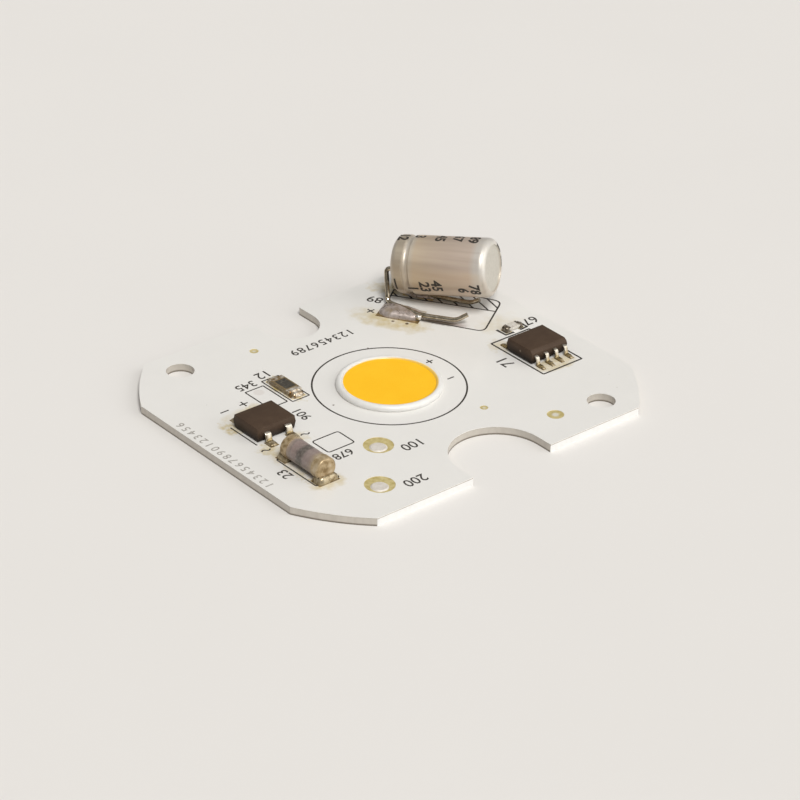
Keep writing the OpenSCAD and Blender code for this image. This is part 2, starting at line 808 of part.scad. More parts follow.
paddle = [3, driver_w - 2 * stub_l - 0.6, frame_t];
driver_chip = [1.6, 1.3, 0.28];
driver_frame_z = top_z + body_lift + driver_h * parting;

module driver_paddle() {
  color([0.80, 0.65, 0.45])
    translate([driver_at[0] - paddle[0] / 2, driver_at[1] - paddle[1] / 2, driver_frame_z - frame_t / 2])
      cube(paddle);
}

module driver_die() {
  color([0.40, 0.42, 0.48])
    translate([driver_at[0] - driver_chip[0] / 2, driver_at[1] - driver_chip[1] / 2, driver_frame_z + frame_t / 2])
      cube(driver_chip);
}

module driver_body() {
  color([0.33, 0.29, 0.25]) difference() {
    translate([driver_at[0], driver_at[1], top_z + body_lift]) moulded(driver_l, driver_w, driver_h, 0.3);
    driver_leads();
    driver_paddle();
    driver_die();
  }
}

module driver_solder() {
  color([0.80, 0.79, 0.77]) difference() {
    foot_solder(driver_at, driver_w, driver_pitch, 4, driver_pad_w, driver_joint_h);
    driver_leads();
  }
}

// ---- Fusible resistor ----

module as_fuse() {
  translate([fuse_at[0], fuse_at[1] - fuse_len / 2, fuse_z]) rotate([-90, 0, 0]) children();
}

fuse_core_r = fuse_d / 2 - fuse_cap_t;

module fuse_resistor_body() {
  color([0.55, 0.50, 0.42]) as_fuse() turned() {
    translate([0, fuse_cap_t]) square([fuse_core_r, fuse_len - 2 * fuse_cap_t]);
    translate([0, fuse_cap_l]) square([fuse_d / 2 - fuse_waist, fuse_len - 2 * fuse_cap_l]);
  }
}

module fuse_cap() {
  turned() difference() {
    union() {
      translate([0, fuse_round]) square([fuse_d / 2, fuse_cap_l - fuse_round]);
      square([fuse_d / 2 - fuse_round, fuse_round]);
      translate([fuse_d / 2 - fuse_round, fuse_round]) circle(fuse_round, $fn = 48);
    }
    translate([0, fuse_cap_t]) square([fuse_core_r, fuse_cap_l]);
  }
}

module fuse_resistor_cap_front() {
  color([0.75, 0.66, 0.50]) as_fuse() fuse_cap();
}

module fuse_resistor_cap_back() {
  color([0.75, 0.66, 0.50]) as_fuse() translate([0, 0, fuse_len]) mirror([0, 0, 1]) fuse_cap();
}

module fuse_resistor_solder() {
  color([0.80, 0.79, 0.77]) difference() {
    for (s = [-1, 1])
      translate([fuse_at[0], fuse_at[1] + s * fuse_end, pad_z])
        mound(joint_outline(fuse_pad), fuse_joint_h, 4, 0.45);
    as_fuse() cylinder(h = fuse_len, d = fuse_d, $fn = 96);
  }
}

// ---- Chip resistors: length along X ----

module chip_block(l, w, t) {
  translate([-l / 2, -w / 2, 0]) cube([l, w, t]);
}

module chip_substrate(l, w, t) {
  translate([0, 0, plating_t]) chip_block(l - 2 * plating_t, w, t - 2 * plating_t);
}

module chip_glaze(l, w, t) {
  translate([0, 0, t - plating_t]) chip_block(l * (1 - 2 * terminal_share), w, plating_t);
}

module chip_terminals(l, w, t) {
  difference() {
    for (s = [-1, 1])
      translate([s * (l - l * terminal_share) / 2, 0, 0]) chip_block(l * terminal_share, w, t);
    chip_substrate(l, w, t);
  }
}

// Solder at both ends of a chip resistor
module chip_solder(l, w, t, pad_size, end, joint_h) {
  difference() {
    for (i = [0, 1])
      translate([(2 * i - 1) * end, 0, -solder_film])
        mound(joint_outline(pad_size), joint_h[i], 4, 0.3);
    chip_block(l, w, t);
  }
}

module at_sense() {
  translate([sense_at[0], sense_at[1], seat_z]) rotate(90) children();
}

module at_bleed() {
  translate([bleed_at[0], bleed_at[1], seat_z]) children();
}

module sense_resistor_substrate() {
  color([0.85, 0.83, 0.78]) at_sense() chip_substrate(sense_l, sense_w, sense_t);
}

module sense_resistor_glaze() {
  color([0.12, 0.11, 0.10]) at_sense() chip_glaze(sense_l, sense_w, sense_t);
}

module sense_resistor_terminals() {
  color([0.70, 0.62, 0.50]) at_sense() chip_terminals(sense_l, sense_w, sense_t);
}

module sense_resistor_solder() {
  color([0.80, 0.79, 0.77]) at_sense()
    chip_solder(sense_l, sense_w, sense_t, [sense_pad[1], sense_pad[0]], sense_end, sense_joint_h);
}

module bleed_resistor_substrate() {
  color([0.88, 0.86, 0.82]) at_bleed() chip_substrate(bleed_l, bleed_w, bleed_t);
}

module bleed_resistor_glaze() {
  color([0.80, 0.78, 0.74]) at_bleed() chip_glaze(bleed_l, bleed_w, bleed_t);
}

module bleed_resistor_terminals() {
  color([0.75, 0.73, 0.70]) at_bleed() chip_terminals(bleed_l, bleed_w, bleed_t);
}

module bleed_resistor_solder() {
  color([0.80, 0.79, 0.77]) at_bleed()
    chip_solder(bleed_l, bleed_w, bleed_t, bleed_pad, bleed_end, bleed_joint_h);
}

// ---- Wire pads ----

// A low tinned disc with a sloping edge on each mains wire pad
module wire_pad_solder() {
  foot_r = tinned_d / 2;
  slope = 1.5 * tin_h;
  color([0.82, 0.78, 0.68])
    for (at = wire_pads_at)
      translate([at[0] - 0.65 * tinned_shift, at[1] - 0.76 * tinned_shift, pad_z])
        rotate_extrude($fn = 96)
        polygon([[0, 0], [foot_r, 0], [foot_r - slope, tin_h], [0, tin_h]]);
}

aluminium_base();
dielectric_layer();
copper_circuit();
solder_mask();
dam_ring();
phosphor_gel();
led_dies();
bond_wires();
capacitor_can();
capacitor_sleeve();
capacitor_bung();
capacitor_roll();
capacitor_lead_positive();
capacitor_lead_negative();
capacitor_solder_positive();
capacitor_solder_negative();
rectifier_body();
rectifier_dies();
rectifier_lead(1);  // rectifier_lead_1
rectifier_lead(2);  // rectifier_lead_2
rectifier_lead(3);  // rectifier_lead_3
rectifier_lead(4);  // rectifier_lead_4
rectifier_solder();
driver_body();
driver_paddle();
driver_die();
driver_lead(1);  // driver_lead_1
driver_lead(2);  // driver_lead_2
driver_lead(3);  // driver_lead_3
driver_lead(4);  // driver_lead_4
driver_lead(5);  // driver_lead_5
driver_lead(6);  // driver_lead_6
driver_lead(7);  // driver_lead_7
driver_lead(8);  // driver_lead_8
driver_solder();
fuse_resistor_body();
fuse_resistor_cap_front();
fuse_resistor_cap_back();
fuse_resistor_solder();
sense_resistor_substrate();
sense_resistor_glaze();
sense_resistor_terminals();
sense_resistor_solder();
bleed_resistor_substrate();
bleed_resistor_glaze();
bleed_resistor_terminals();
bleed_resistor_solder();
wire_pad_solder();
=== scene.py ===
"""Dresses a light module: a white aluminium-core board with its light source and driver parts."""

import math

import bmesh
import bpy
from mathutils import Matrix, Vector, noise


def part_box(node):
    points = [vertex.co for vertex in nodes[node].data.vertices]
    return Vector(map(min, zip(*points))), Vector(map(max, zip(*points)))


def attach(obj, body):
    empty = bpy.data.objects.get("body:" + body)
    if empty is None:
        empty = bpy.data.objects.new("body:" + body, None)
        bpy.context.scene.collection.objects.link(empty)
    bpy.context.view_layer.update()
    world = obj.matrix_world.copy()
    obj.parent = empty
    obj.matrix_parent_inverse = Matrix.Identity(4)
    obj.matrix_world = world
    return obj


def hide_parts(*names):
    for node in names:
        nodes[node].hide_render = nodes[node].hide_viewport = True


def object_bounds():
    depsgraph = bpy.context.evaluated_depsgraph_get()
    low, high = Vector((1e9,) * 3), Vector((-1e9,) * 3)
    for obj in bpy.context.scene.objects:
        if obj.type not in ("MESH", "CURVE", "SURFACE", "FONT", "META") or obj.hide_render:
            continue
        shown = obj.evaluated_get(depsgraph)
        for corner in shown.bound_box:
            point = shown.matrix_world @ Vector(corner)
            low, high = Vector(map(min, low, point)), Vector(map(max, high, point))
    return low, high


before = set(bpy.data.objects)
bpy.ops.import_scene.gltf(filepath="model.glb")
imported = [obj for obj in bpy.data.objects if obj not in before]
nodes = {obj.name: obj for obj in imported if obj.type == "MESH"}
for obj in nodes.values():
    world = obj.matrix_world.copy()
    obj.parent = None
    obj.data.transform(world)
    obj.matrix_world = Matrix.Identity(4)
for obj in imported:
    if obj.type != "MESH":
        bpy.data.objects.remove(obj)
cad_low, cad_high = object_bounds()

MM = 0.001
BODY = "root"


def placed(name, data):
    """A new object that holds the data, linked into the scene."""
    made = bpy.data.objects.new(name, data)
    bpy.context.scene.collection.objects.link(made)
    return made


def mesh_of(shape, name):
    """A new mesh made from a working shape, which is then let go."""
    mesh = bpy.data.meshes.new(name)
    shape.to_mesh(mesh)
    shape.free()
    return mesh


# ---------------------------------------------------------------- camera

board_low, board_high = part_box("solder_mask")
board_top = board_high.z
board_front = board_low.y
source_low, source_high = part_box("dam_ring")
source_middle = (source_low + source_high) / 2
source_middle.z = board_top

VIEW_HEADING = Vector((0.56413, 0.65760, -0.49932))
VIEW_DISTANCE = 310.56 * MM
VIEW_AIM = Vector((0.45, -1.14, -1.32)) * MM
VIEW_ROLL = math.radians(1.413)
VIEW_LENS = 139.41


def make_camera():
    """The camera looks down on the module's front from its left, from about 30 degrees up."""
    lens = bpy.data.cameras.new("view")
    lens.sensor_width = 36
    lens.lens = VIEW_LENS
    lens.clip_start = 0.01
    lens.clip_end = 20
    camera = placed("view", lens)
    heading = VIEW_HEADING.normalized()
    across = heading.cross(Vector((0, 0, 1))).normalized()
    across = Matrix.Rotation(-VIEW_ROLL, 3, heading) @ across
    upward = across.cross(heading)
    turn = Matrix((across, upward, -heading)).transposed()
    place = source_middle + VIEW_AIM - heading * VIEW_DISTANCE
    camera.matrix_world = Matrix.Translation(place) @ turn.to_4x4()
    bpy.context.scene.camera = camera


make_camera()


# ---------------------------------------------------------------- finishes

class Finish:
    """A procedural finish, built up from the nodes that it asks for."""

    def __init__(self, name, roughness=0.5, metallic=0.0):
        self.material = bpy.data.materials.new(name)
        self.material.use_nodes = True
        self.tree = self.material.node_tree
        self.shader = self.tree.nodes["Principled BSDF"]
        self.set("Roughness", roughness)
        self.set("Metallic", metallic)
        self.coords = self.add("ShaderNodeTexCoord").outputs["Object"]

    def add(self, kind, **settings):
        """A new node with its settings."""
        node = self.tree.nodes.new(kind)
        for key, value in settings.items():
            setattr(node, key, value)
        return node

    def set(self, socket, value):
        """Sets a plain value on the shader."""
        self.shader.inputs[socket].default_value = value

    def join(self, source, target):
        """Links one socket to another."""
        self.tree.links.new(source, target)

    def feed(self, node, index, value):
        """Links a socket, or sets a plain value, on one input of a node."""
        if isinstance(value, bpy.types.NodeSocket):
            self.join(value, node.inputs[index])
        else:
            node.inputs[index].default_value = value

    def turned(self, middle=(0, 0, 0), turn=(0, 0, 0), stretch=(1, 1, 1)):
        """Coordinates measured from a middle, then turned and stretched."""
        moved = self.add("ShaderNodeVectorMath", operation="SUBTRACT")
        self.join(self.coords, moved.inputs[0])
        moved.inputs[1].default_value = middle
        rotation = self.add("ShaderNodeMapping")
        self.join(moved.outputs[0], rotation.inputs["Vector"])
        rotation.inputs["Rotation"].default_value = turn
        scaling = self.add("ShaderNodeMapping")
        self.join(rotation.outputs["Vector"], scaling.inputs["Vector"])
        scaling.inputs["Scale"].default_value = stretch
        return scaling.outputs["Vector"]

    def grain(self, size, detail=3.0, coords=None):
        """Noise whose features are about the given size in metres."""
        node = self.add("ShaderNodeTexNoise")
        self.join(coords or self.coords, node.inputs["Vector"])
        node.inputs["Scale"].default_value = 1 / size
        node.inputs["Detail"].default_value = detail
        return node.outputs["Fac"]

    def cells(self, size):
        """Distance from the middle of scattered cells of about the given size."""
        node = self.add("ShaderNodeTexVoronoi")
        self.join(self.coords, node.inputs["Vector"])
        node.inputs["Scale"].default_value = 1 / size
        return node.outputs["Distance"]

    def axis(self, letter):
        """The place along one of the module's axes, in metres."""
        node = self.add("ShaderNodeSeparateXYZ")
        self.join(self.coords, node.inputs[0])
        return node.outputs[letter]

    def rescale(self, value, low, high, to_low=0.0, to_high=1.0):
        """Maps a value from one range to another, and holds it inside the second."""
        node = self.add("ShaderNodeMapRange")
        self.feed(node, "Value", value)
        node.inputs["From Min"].default_value = low
        node.inputs["From Max"].default_value = high
        node.inputs["To Min"].default_value = to_low
        node.inputs["To Max"].default_value = to_high
        return node.outputs["Result"]

    def maths(self, operation, first, second):
        """One sum on two values."""
        node = self.add("ShaderNodeMath", operation=operation)
        self.feed(node, 0, first)
        self.feed(node, 1, second)
        return node.outputs[0]

    def spot(self, middle, radius, edge, stretch=(1, 1, 1), turn=0.0, ragged=0.0):
        """1 inside a round or oval patch of the board, fading to 0 over its edge."""
        coords = self.turned(middle, (0, 0, turn), stretch)
        length = self.add("ShaderNodeVectorMath", operation="LENGTH")
        self.join(coords, length.inputs[0])
        distance = length.outputs["Value"]
        if ragged:
            wander = self.rescale(self.grain(radius * 0.7), 0.3, 0.7, -ragged, ragged)
            distance = self.maths("ADD", distance, wander)
        return self.rescale(distance, radius + edge, radius - edge)

    def ramp(self, value, *stops):
        """A colour that follows a value through the stops (place, colour)."""
        node = self.add("ShaderNodeValToRGB")
        self.join(value, node.inputs["Fac"])
        band = node.color_ramp
        while len(band.elements) < len(stops):
            band.elements.new(0.5)
        for element, (where, colour) in zip(band.elements, stops):
            element.position = where
            element.color = (*colour, 1)
        return node.outputs["Color"]

    def mix(self, share, first, second):
        """The first colour with a share of the second over it."""
        node = self.add("ShaderNodeMix", data_type="RGBA")
        self.feed(node, 0, share)
        for index, colour in ((6, first), (7, second)):
            if isinstance(colour, tuple):
                node.inputs[index].default_value = (*colour, 1)
            else:
                self.join(colour, node.inputs[index])
        return node.outputs[2]

    def colour(self, source):
        """Gives the shader its base colour."""
        self.join(source, self.shader.inputs["Base Color"])

    def roughness(self, value, low, high):
        """Roughness that follows a grain between two values."""
        self.join(self.rescale(value, 0.3, 0.7, low, high), self.shader.inputs["Roughness"])

    def relief(self, value, depth):
        """Fine relief of the given depth in metres."""
        node = self.add("ShaderNodeBump")
        node.inputs["Strength"].default_value = 1.0
        node.inputs["Distance"].default_value = depth
        self.join(value, node.inputs["Height"])
        self.join(node.outputs["Normal"], self.shader.inputs["Normal"])


def tinted(name, dark, pale, size, roughness=0.5, metallic=0.0, relief=0.0, detail=3.0):
    """A finish that wanders between two colours, with matching relief and gloss."""
    made = Finish(name, roughness, metallic)
    value = made.grain(size, detail)
    made.colour(made.ramp(value, (0.35, dark), (0.65, pale)))
    made.roughness(made.grain(size * 2), roughness * 0.85, min(1.0, roughness * 1.15))
    if relief:
        made.relief(value, relief)
    return made


def on_board(x, y):
    """A point on the board's white face, in millimetres from the light source's middle."""
    return Vector((source_middle.x + x * MM, source_middle.y + y * MM, board_top))


WHITE = (0.80, 0.782, 0.748)
STAIN = (0.56, 0.43, 0.16)
PINK_GREY = (0.66, 0.60, 0.56)
DIRT = (0.10, 0.06, 0.025)

# Flux stains on the board: place x and y, radius and soft edge in millimetres,
# how far each axis is squeezed, turn in degrees, and strength
STAINS = (
    (8.9, 10.2, 1.8, 0.7, (0.55, 1.15, 1), -62, 0.95),
    (7.6, 13.4, 1.3, 0.8, (1, 1, 1), 0, 0.30),
    (13.4, 15.6, 1.3, 0.5, (0.6, 1.2, 1), -60, 0.9),
    (-15.2, 3.9, 1.6, 0.7, (0.7, 1.4, 1), 0, 0.45),
    (-17.6, 2.9, 0.8, 0.4, (1, 0.8, 1), 0, 0.95),
    (-13.8, 4.6, 1.0, 0.4, (0.8, 1.2, 1), 0, 0.8),
    (-17.2, -2.4, 0.9, 0.4, (1, 1, 1), 0, 0.8),
    (-13.4, -2.3, 0.9, 0.4, (1, 1, 1), 0, 0.7),
    (-16.4, -4.3, 1.6, 0.5, (1, 1.2, 1), 0, 0.65),
    (-16.4, -10.4, 1.5, 0.5, (0.9, 1.2, 1), 0, 0.85),
    (-17.6, -7.5, 0.5, 0.3, (1, 0.22, 1), 0, 0.6),
    (-8.6, 5.9, 1.3, 0.25, (1.25, 0.52, 1), 0, 1.0),
    (-9.2, 6.6, 0.6, 0.3, (1.3, 0.5, 1), 0, 1.0),
    (17.2, 2.9, 1.4, 0.8, (0.7, 1, 1), 0, 0.40),
    (16.4, -6.9, 2.3, 0.3, (0.9, 2.0, 1), 0, 0.75),
    (14.2, -0.7, 1.0, 0.3, (0.9, 0.8, 1), 0, 0.55),
)
# Burnt flecks: place x and y and radius, in millimetres
FLECKS = ((8.92, 10.16, 0.16), (9.72, 8.86, 0.19), (-6.9, 0.4, 0.10), (3.2, 7.3, 0.08))


def white_mask_finish():
    """White resist with a slight orange peel, flux stains, a little dirt, and painted shadow under the
    bent lead wire and its raised tip.
    """
    made = Finish("white resist", 0.38)
    mottle = made.grain(2.4 * MM, 4)
    colour = made.ramp(mottle, (0.3, tuple(c * 0.985 for c in WHITE)), (0.7, WHITE))
    patchy = made.grain(0.7 * MM, 4)
    for x, y, radius, edge, stretch, turn, share in STAINS:
        patch = made.spot(on_board(x, y), radius * MM, edge * MM, stretch, math.radians(-turn), 0.5 * MM)
        strength = made.rescale(patchy, 0.3, 0.6, share * 0.35, share * 0.8)
        film = made.maths("MULTIPLY", patch, strength)
        colour = made.mix(film, colour, STAIN)
    pale_pad = made.spot(on_board(-11.2, 6.9), 0.55 * MM, 0.1 * MM)
    colour = made.mix(made.maths("MULTIPLY", pale_pad, 0.5), colour, PINK_GREY)
    for x, y, radius in FLECKS:
        fleck = made.spot(on_board(x, y), radius * MM, 0.05 * MM, (1, 1, 1), 0, 0.05 * MM)
        colour = made.mix(fleck, colour, DIRT)
    # painted shadow: a dark streak on the board where the bent lead wire's shadow falls
    darkened = made.spot(
        on_board(12.55, 6.95), 0.42 * MM, 0.16 * MM, (0.19, 1, 1), math.radians(56), 0.06 * MM
    )
    colour = made.mix(made.maths("MULTIPLY", darkened, 0.92), colour, (0.09, 0.06, 0.035))
    # painted shadow: a soft purple-grey patch where the raised wire tip's shadow falls
    wire_tip_shadow = made.spot(on_board(13.9, 5.3), 0.42 * MM, 0.30 * MM, (0.6, 1, 1), math.radians(62))
    colour = made.mix(made.maths("MULTIPLY", wire_tip_shadow, 0.5), colour, (0.42, 0.34, 0.33))
    specks = made.rescale(made.cells(2.6 * MM), 0.035, 0.02)
    colour = made.mix(made.maths("MULTIPLY", specks, 0.35), colour, (0.30, 0.26, 0.20))
    made.colour(colour)
    made.set("Coat Weight", 0.5)
    made.set("Coat Roughness", 0.12)
    made.roughness(made.grain(5 * MM), 0.34, 0.44)
    made.relief(made.grain(0.9 * MM, 2), 0.003 * MM)
    return made


def bare_aluminium_finish():
    """Cut aluminium: front and back edges bright from the shear and brighter still by a painted
    highlight, and greyer milled walls with painted shade at their foot.
    """
    made = Finish("cut aluminium", 0.45, 0.1)
    marks = made.grain(0.5 * MM, 3, made.turned(stretch=(1, 1, 0.25)))
    milled = made.ramp(marks, (0.3, (0.53, 0.49, 0.435)), (0.7, (0.59, 0.55, 0.49)))
    height = made.rescale(made.axis("Z"), 0, 0.75 * MM)
    # painted shade: the milled walls darken towards their bottom edge, where the gap under the board
    # lies in shade
    milled = made.mix(made.rescale(height, 0.30, 0.12, 0, 0.9), milled, (0.13, 0.105, 0.075))
    # the front and back edges are pale from the shear, and paler still as a painted highlight for the
    # light that falls on them
    shear_and_highlight = made.ramp(marks, (0.3, (0.82, 0.815, 0.80)), (0.7, (0.88, 0.875, 0.86)))
    depth = made.axis("Y")
    front = made.rescale(depth, board_front + 0.04 * MM, board_front + 0.01 * MM)
    back = made.rescale(depth, board_high.y - 0.04 * MM, board_high.y - 0.01 * MM)
    made.colour(made.mix(made.maths("MAXIMUM", front, back), milled, shear_and_highlight))
    made.roughness(marks, 0.34, 0.46)
    made.relief(marks, 0.004 * MM)
    return made


can_low, can_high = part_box("capacitor_sleeve")
can_middle = (can_low + can_high) / 2
CAN_YAW = math.radians(-60)
CAN_TILT = math.radians(8.5)
CAN_LENGTH = 10.5 * MM
CAN_RADIUS = 3.125 * MM
can_along = Vector((
    math.cos(CAN_TILT) * math.cos(CAN_YAW), math.cos(CAN_TILT) * math.sin(CAN_YAW), math.sin(CAN_TILT),
))
can_across = Vector((-math.sin(CAN_YAW), math.cos(CAN_YAW), 0))
can_upward = can_along.cross(can_across)


def along_can(made):
    """Distance along the can from its lead end, as a share of its length."""
    away = made.add("ShaderNodeVectorMath", operation="SUBTRACT")
    made.join(made.coords, away.inputs[0])
    away.inputs[1].default_value = can_middle - can_along * CAN_LENGTH / 2
    shadow = made.add("ShaderNodeVectorMath", operation="DOT_PRODUCT")
    made.join(away.outputs[0], shadow.inputs[0])
    shadow.inputs[1].default_value = can_along / CAN_LENGTH
    return shadow.outputs["Value"]


def sleeve_finish():
    """Clear grey sleeve over warm brushed aluminium, greyer at the lead end, with painted shade on its
    lower half and on the crimp groove, and a painted highlight on the groove's shoulder.
    """
    made = Finish("clear sleeve on aluminium", 0.32, 0.5)
    where = along_can(made)
    brushed = made.turned(can_middle, (0, CAN_TILT, -CAN_YAW), (0.06, 1, 1))
    streaks = made.grain(0.6 * MM, 3, brushed)
    waver = made.maths("ADD", where, made.rescale(made.grain(2.5 * MM), 0.3, 0.7, -0.008, 0.008))
    # The dark stops at 0.06 and 0.12 paint shade on the crimp groove's shaded side, and the paler stop
    # at 0.165 paints a highlight on its lit shoulder.
    tone = made.ramp(
        waver,
        (0.0, (0.66, 0.61, 0.54)),
        (0.06, (0.47, 0.40, 0.31)),
        (0.12, (0.47, 0.40, 0.31)),
        (0.165, (0.62, 0.57, 0.50)),
        (0.20, (0.62, 0.56, 0.48)),
        (0.26, (0.64, 0.51, 0.37)),
        (0.40, (0.60, 0.48, 0.37)),
        (0.60, (0.60, 0.48, 0.39)),
        (0.84, (0.66, 0.54, 0.45)),
        (0.90, (0.70, 0.65, 0.59)),
        (1.0, (0.72, 0.69, 0.64)),
    )
    # painted shade: the sleeve's lower half is darkened, as it lies in shade
    height = made.axis("Z")
    lower_half_shade = made.rescale(height, can_middle.z + 1.6 * MM, can_middle.z + 0.2 * MM, 0, 0.32)
    tone = made.mix(lower_half_shade, tone, (0.40, 0.28, 0.16))
    pale = made.mix(made.rescale(streaks, 0.45, 0.7, 0, 0.2), tone, (0.74, 0.66, 0.50))
    made.colour(made.mix(made.rescale(streaks, 0.42, 0.3, 0, 0.2), pale, (0.46, 0.37, 0.28)))
    made.set("Coat Weight", 0.25)
    made.set("Coat Roughness", 0.32)
    made.roughness(streaks, 0.40, 0.50)
    return made


def can_finish():
    """Aluminium can, seen bare at its closed end, with the faint cross of its vent."""
    made = Finish("drawn aluminium", 0.34, 0.75)
    fine = made.grain(0.3 * MM, 4)
    made.colour(made.ramp(fine, (0.35, (0.64, 0.61, 0.54)), (0.65, (0.71, 0.68, 0.61))))
    made.roughness(fine, 0.3, 0.42)
    made.relief(fine, 0.004 * MM)
    return made


def solder_finish():
    """Dull pinkish solder with soft ripples and films of brown flux."""
    made = Finish("solder", 0.3, 0.55)
    ripple = made.grain(0.6 * MM, 4)
    tone = made.ramp(ripple, (0.3, (0.40, 0.33, 0.29)), (0.7, (0.68, 0.60, 0.56)))
    film = made.rescale(made.grain(0.9 * MM, 3), 0.52, 0.66, 0, 0.55)
    made.colour(made.mix(film, tone, (0.34, 0.24, 0.11)))
    made.roughness(ripple, 0.22, 0.42)
    made.relief(ripple, 0.015 * MM)
    return made


def epoxy_finish():
    """Dark brown-grey moulding compound with its fine matt grain, and painted shade that darkens it
    towards the board.
    """
    made = Finish("moulding compound", 0.55)
    fine = made.grain(0.07 * MM, 5)
    broad = made.grain(1.2 * MM, 3)
    tone = made.ramp(fine, (0.3, (0.052, 0.031, 0.019)), (0.7, (0.076, 0.047, 0.030)))
    mould = made.mix(made.rescale(broad, 0.4, 0.7, 0, 0.35), tone, (0.092, 0.060, 0.038))
    height = made.axis("Z")
    # painted shade: the body darkens towards the board
    foot = made.rescale(height, board_top + 1.15 * MM, board_top + 0.3 * MM, 0, 0.9)
    mould = made.mix(foot, mould, (0.016, 0.010, 0.006))
    dimple = made.spot(on_board(14.0, -3.95) + Vector((0, 0, 0.93 * MM)), 0.11 * MM, 0.05 * MM)
    mould = made.mix(made.maths("MULTIPLY", dimple, 0.8), mould, (0.22, 0.17, 0.12))
    made.colour(mould)
    made.set("Specular IOR Level", 0.22)
    made.roughness(fine, 0.5, 0.65)
    made.relief(fine, 0.006 * MM)
    return made


fuse_low, fuse_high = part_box("fuse_resistor_body")


def resistor_coat_finish():
    """Baked lacquer in soft bands: olive, dark green-grey, mauve and grey."""
    made = Finish("banded lacquer", 0.42)
    wander = made.rescale(made.grain(0.8 * MM, 3), 0.3, 0.7, -0.03, 0.03)
    place = made.rescale(made.axis("Y"), fuse_low.y, fuse_high.y)
    place = made.maths("ADD", place, wander)
    tone = made.ramp(
        place,
        (0.16, (0.36, 0.28, 0.18)),
        (0.24, (0.27, 0.205, 0.165)),
        (0.30, (0.255, 0.195, 0.175)),
        (0.40, (0.24, 0.185, 0.17)),
        (0.45, (0.10, 0.082, 0.070)),
        (0.55, (0.095, 0.080, 0.070)),
        (0.60, (0.22, 0.165, 0.15)),
        (0.72, (0.27, 0.20, 0.18)),
        (0.76, (0.21, 0.165, 0.15)),
        (0.82, (0.30, 0.23, 0.18)),
        (0.88, (0.38, 0.29, 0.19)),
    )
    worn = made.rescale(made.grain(0.25 * MM, 4), 0.4, 0.7, 0, 0.25)
    made.colour(made.mix(worn, tone, (0.45, 0.39, 0.33)))
    made.set("Coat Weight", 0.35)
    made.set("Coat Roughness", 0.25)
    made.relief(made.grain(0.4 * MM, 3), 0.03 * MM)
    return made


def end_cap_finish():
    """Plated cap under a smear of tan lacquer, browner at its middle."""
    made = Finish("lacquered end cap", 0.35, 0.35)
    smear = made.grain(0.6 * MM, 4)
    made.colour(made.ramp(
        smear,
        (0.32, (0.22, 0.145, 0.06)),
        (0.50, (0.44, 0.33, 0.19)),
        (0.70, (0.56, 0.46, 0.32)),
    ))
    made.roughness(smear, 0.28, 0.5)
    made.relief(smear, 0.02 * MM)
    return made


def phosphor_finish():
    """Amber silicone full of phosphor grains, softly glossy."""
    made = Finish("phosphor silicone", 0.35)
    fine = made.grain(0.09 * MM, 4)
    broad = made.grain(2.0 * MM, 2)
    tone = made.ramp(fine, (0.3, (0.96, 0.50, 0.006)), (0.7, (1.0, 0.56, 0.012)))
    made.colour(made.mix(made.rescale(broad, 0.4, 0.7, 0, 0.3), tone, (1.0, 0.60, 0.02)))
    made.set("Specular IOR Level", 0.25)
    made.set("Coat Weight", 0.1)
    made.set("Coat Roughness", 0.25)
    made.relief(fine, 0.004 * MM)
    return made


def silicone_finish():
    """Milky silicone dam, with the amber gel drawn a little way up its inner side."""
    made = Finish("milky silicone", 0.34)
    soft = made.grain(0.8 * MM, 3)
    milky = made.ramp(soft, (0.3, (0.75, 0.735, 0.70)), (0.7, (0.79, 0.775, 0.74)))
    low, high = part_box("phosphor_gel")
    middle = Vector((source_middle.x + 0.10 * MM, source_middle.y - 0.08 * MM, high.z))
    wet = made.spot(middle, (high.x - low.x) / 2 + 0.10 * MM, 0.07 * MM)
    made.colour(made.mix(made.maths("MULTIPLY", wet, 0.9), milky, (1.0, 0.58, 0.03)))
    made.set("Subsurface Weight", 0.5)
    made.set("Subsurface Scale", 0.9 * MM)
    made.set("Subsurface Radius", (1.0, 0.97, 0.92))
    made.set("Coat Weight", 0.15)
    made.set("Coat Roughness", 0.2)
    made.relief(soft, 0.02 * MM)
    return made


def lead_frame_finish():
    """Tinned leads, bright above and brown with flux towards their feet."""
    made = Finish("tinned lead frame", 0.22, 0.9)
    mottle = made.grain(0.25 * MM, 3)
    clean = made.ramp(mottle, (0.35, (0.55, 0.50, 0.42)), (0.65, (0.80, 0.76, 0.68)))
    height = made.axis("Z")
    height = made.maths("ADD", height, made.rescale(mottle, 0.3, 0.7, -0.15 * MM, 0.15 * MM))
    stain = made.rescale(height, board_top + 0.75 * MM, board_top + 0.25 * MM, 0.1, 0.85)
    made.colour(made.mix(stain, clean, (0.34, 0.24, 0.08)))
    made.roughness(mottle, 0.18, 0.36)
    made.relief(mottle, 0.006 * MM)
    return made


def ceramic_finish():
    """Alumina chips: the front left one brown with flux, the other clean."""
    made = Finish("alumina", 0.5)
    fine = made.grain(0.2 * MM, 4)
    clean = made.ramp(fine, (0.35, (0.62, 0.58, 0.51)), (0.65, (0.76, 0.73, 0.67)))
    brown = made.ramp(fine, (0.35, (0.12, 0.075, 0.03)), (0.65, (0.36, 0.26, 0.12)))
    left = made.rescale(made.axis("X"), source_middle.x, source_middle.x - 1 * MM, 0, 0.9)
    made.colour(made.mix(left, clean, brown))
    made.relief(fine, 0.006 * MM)
    return made


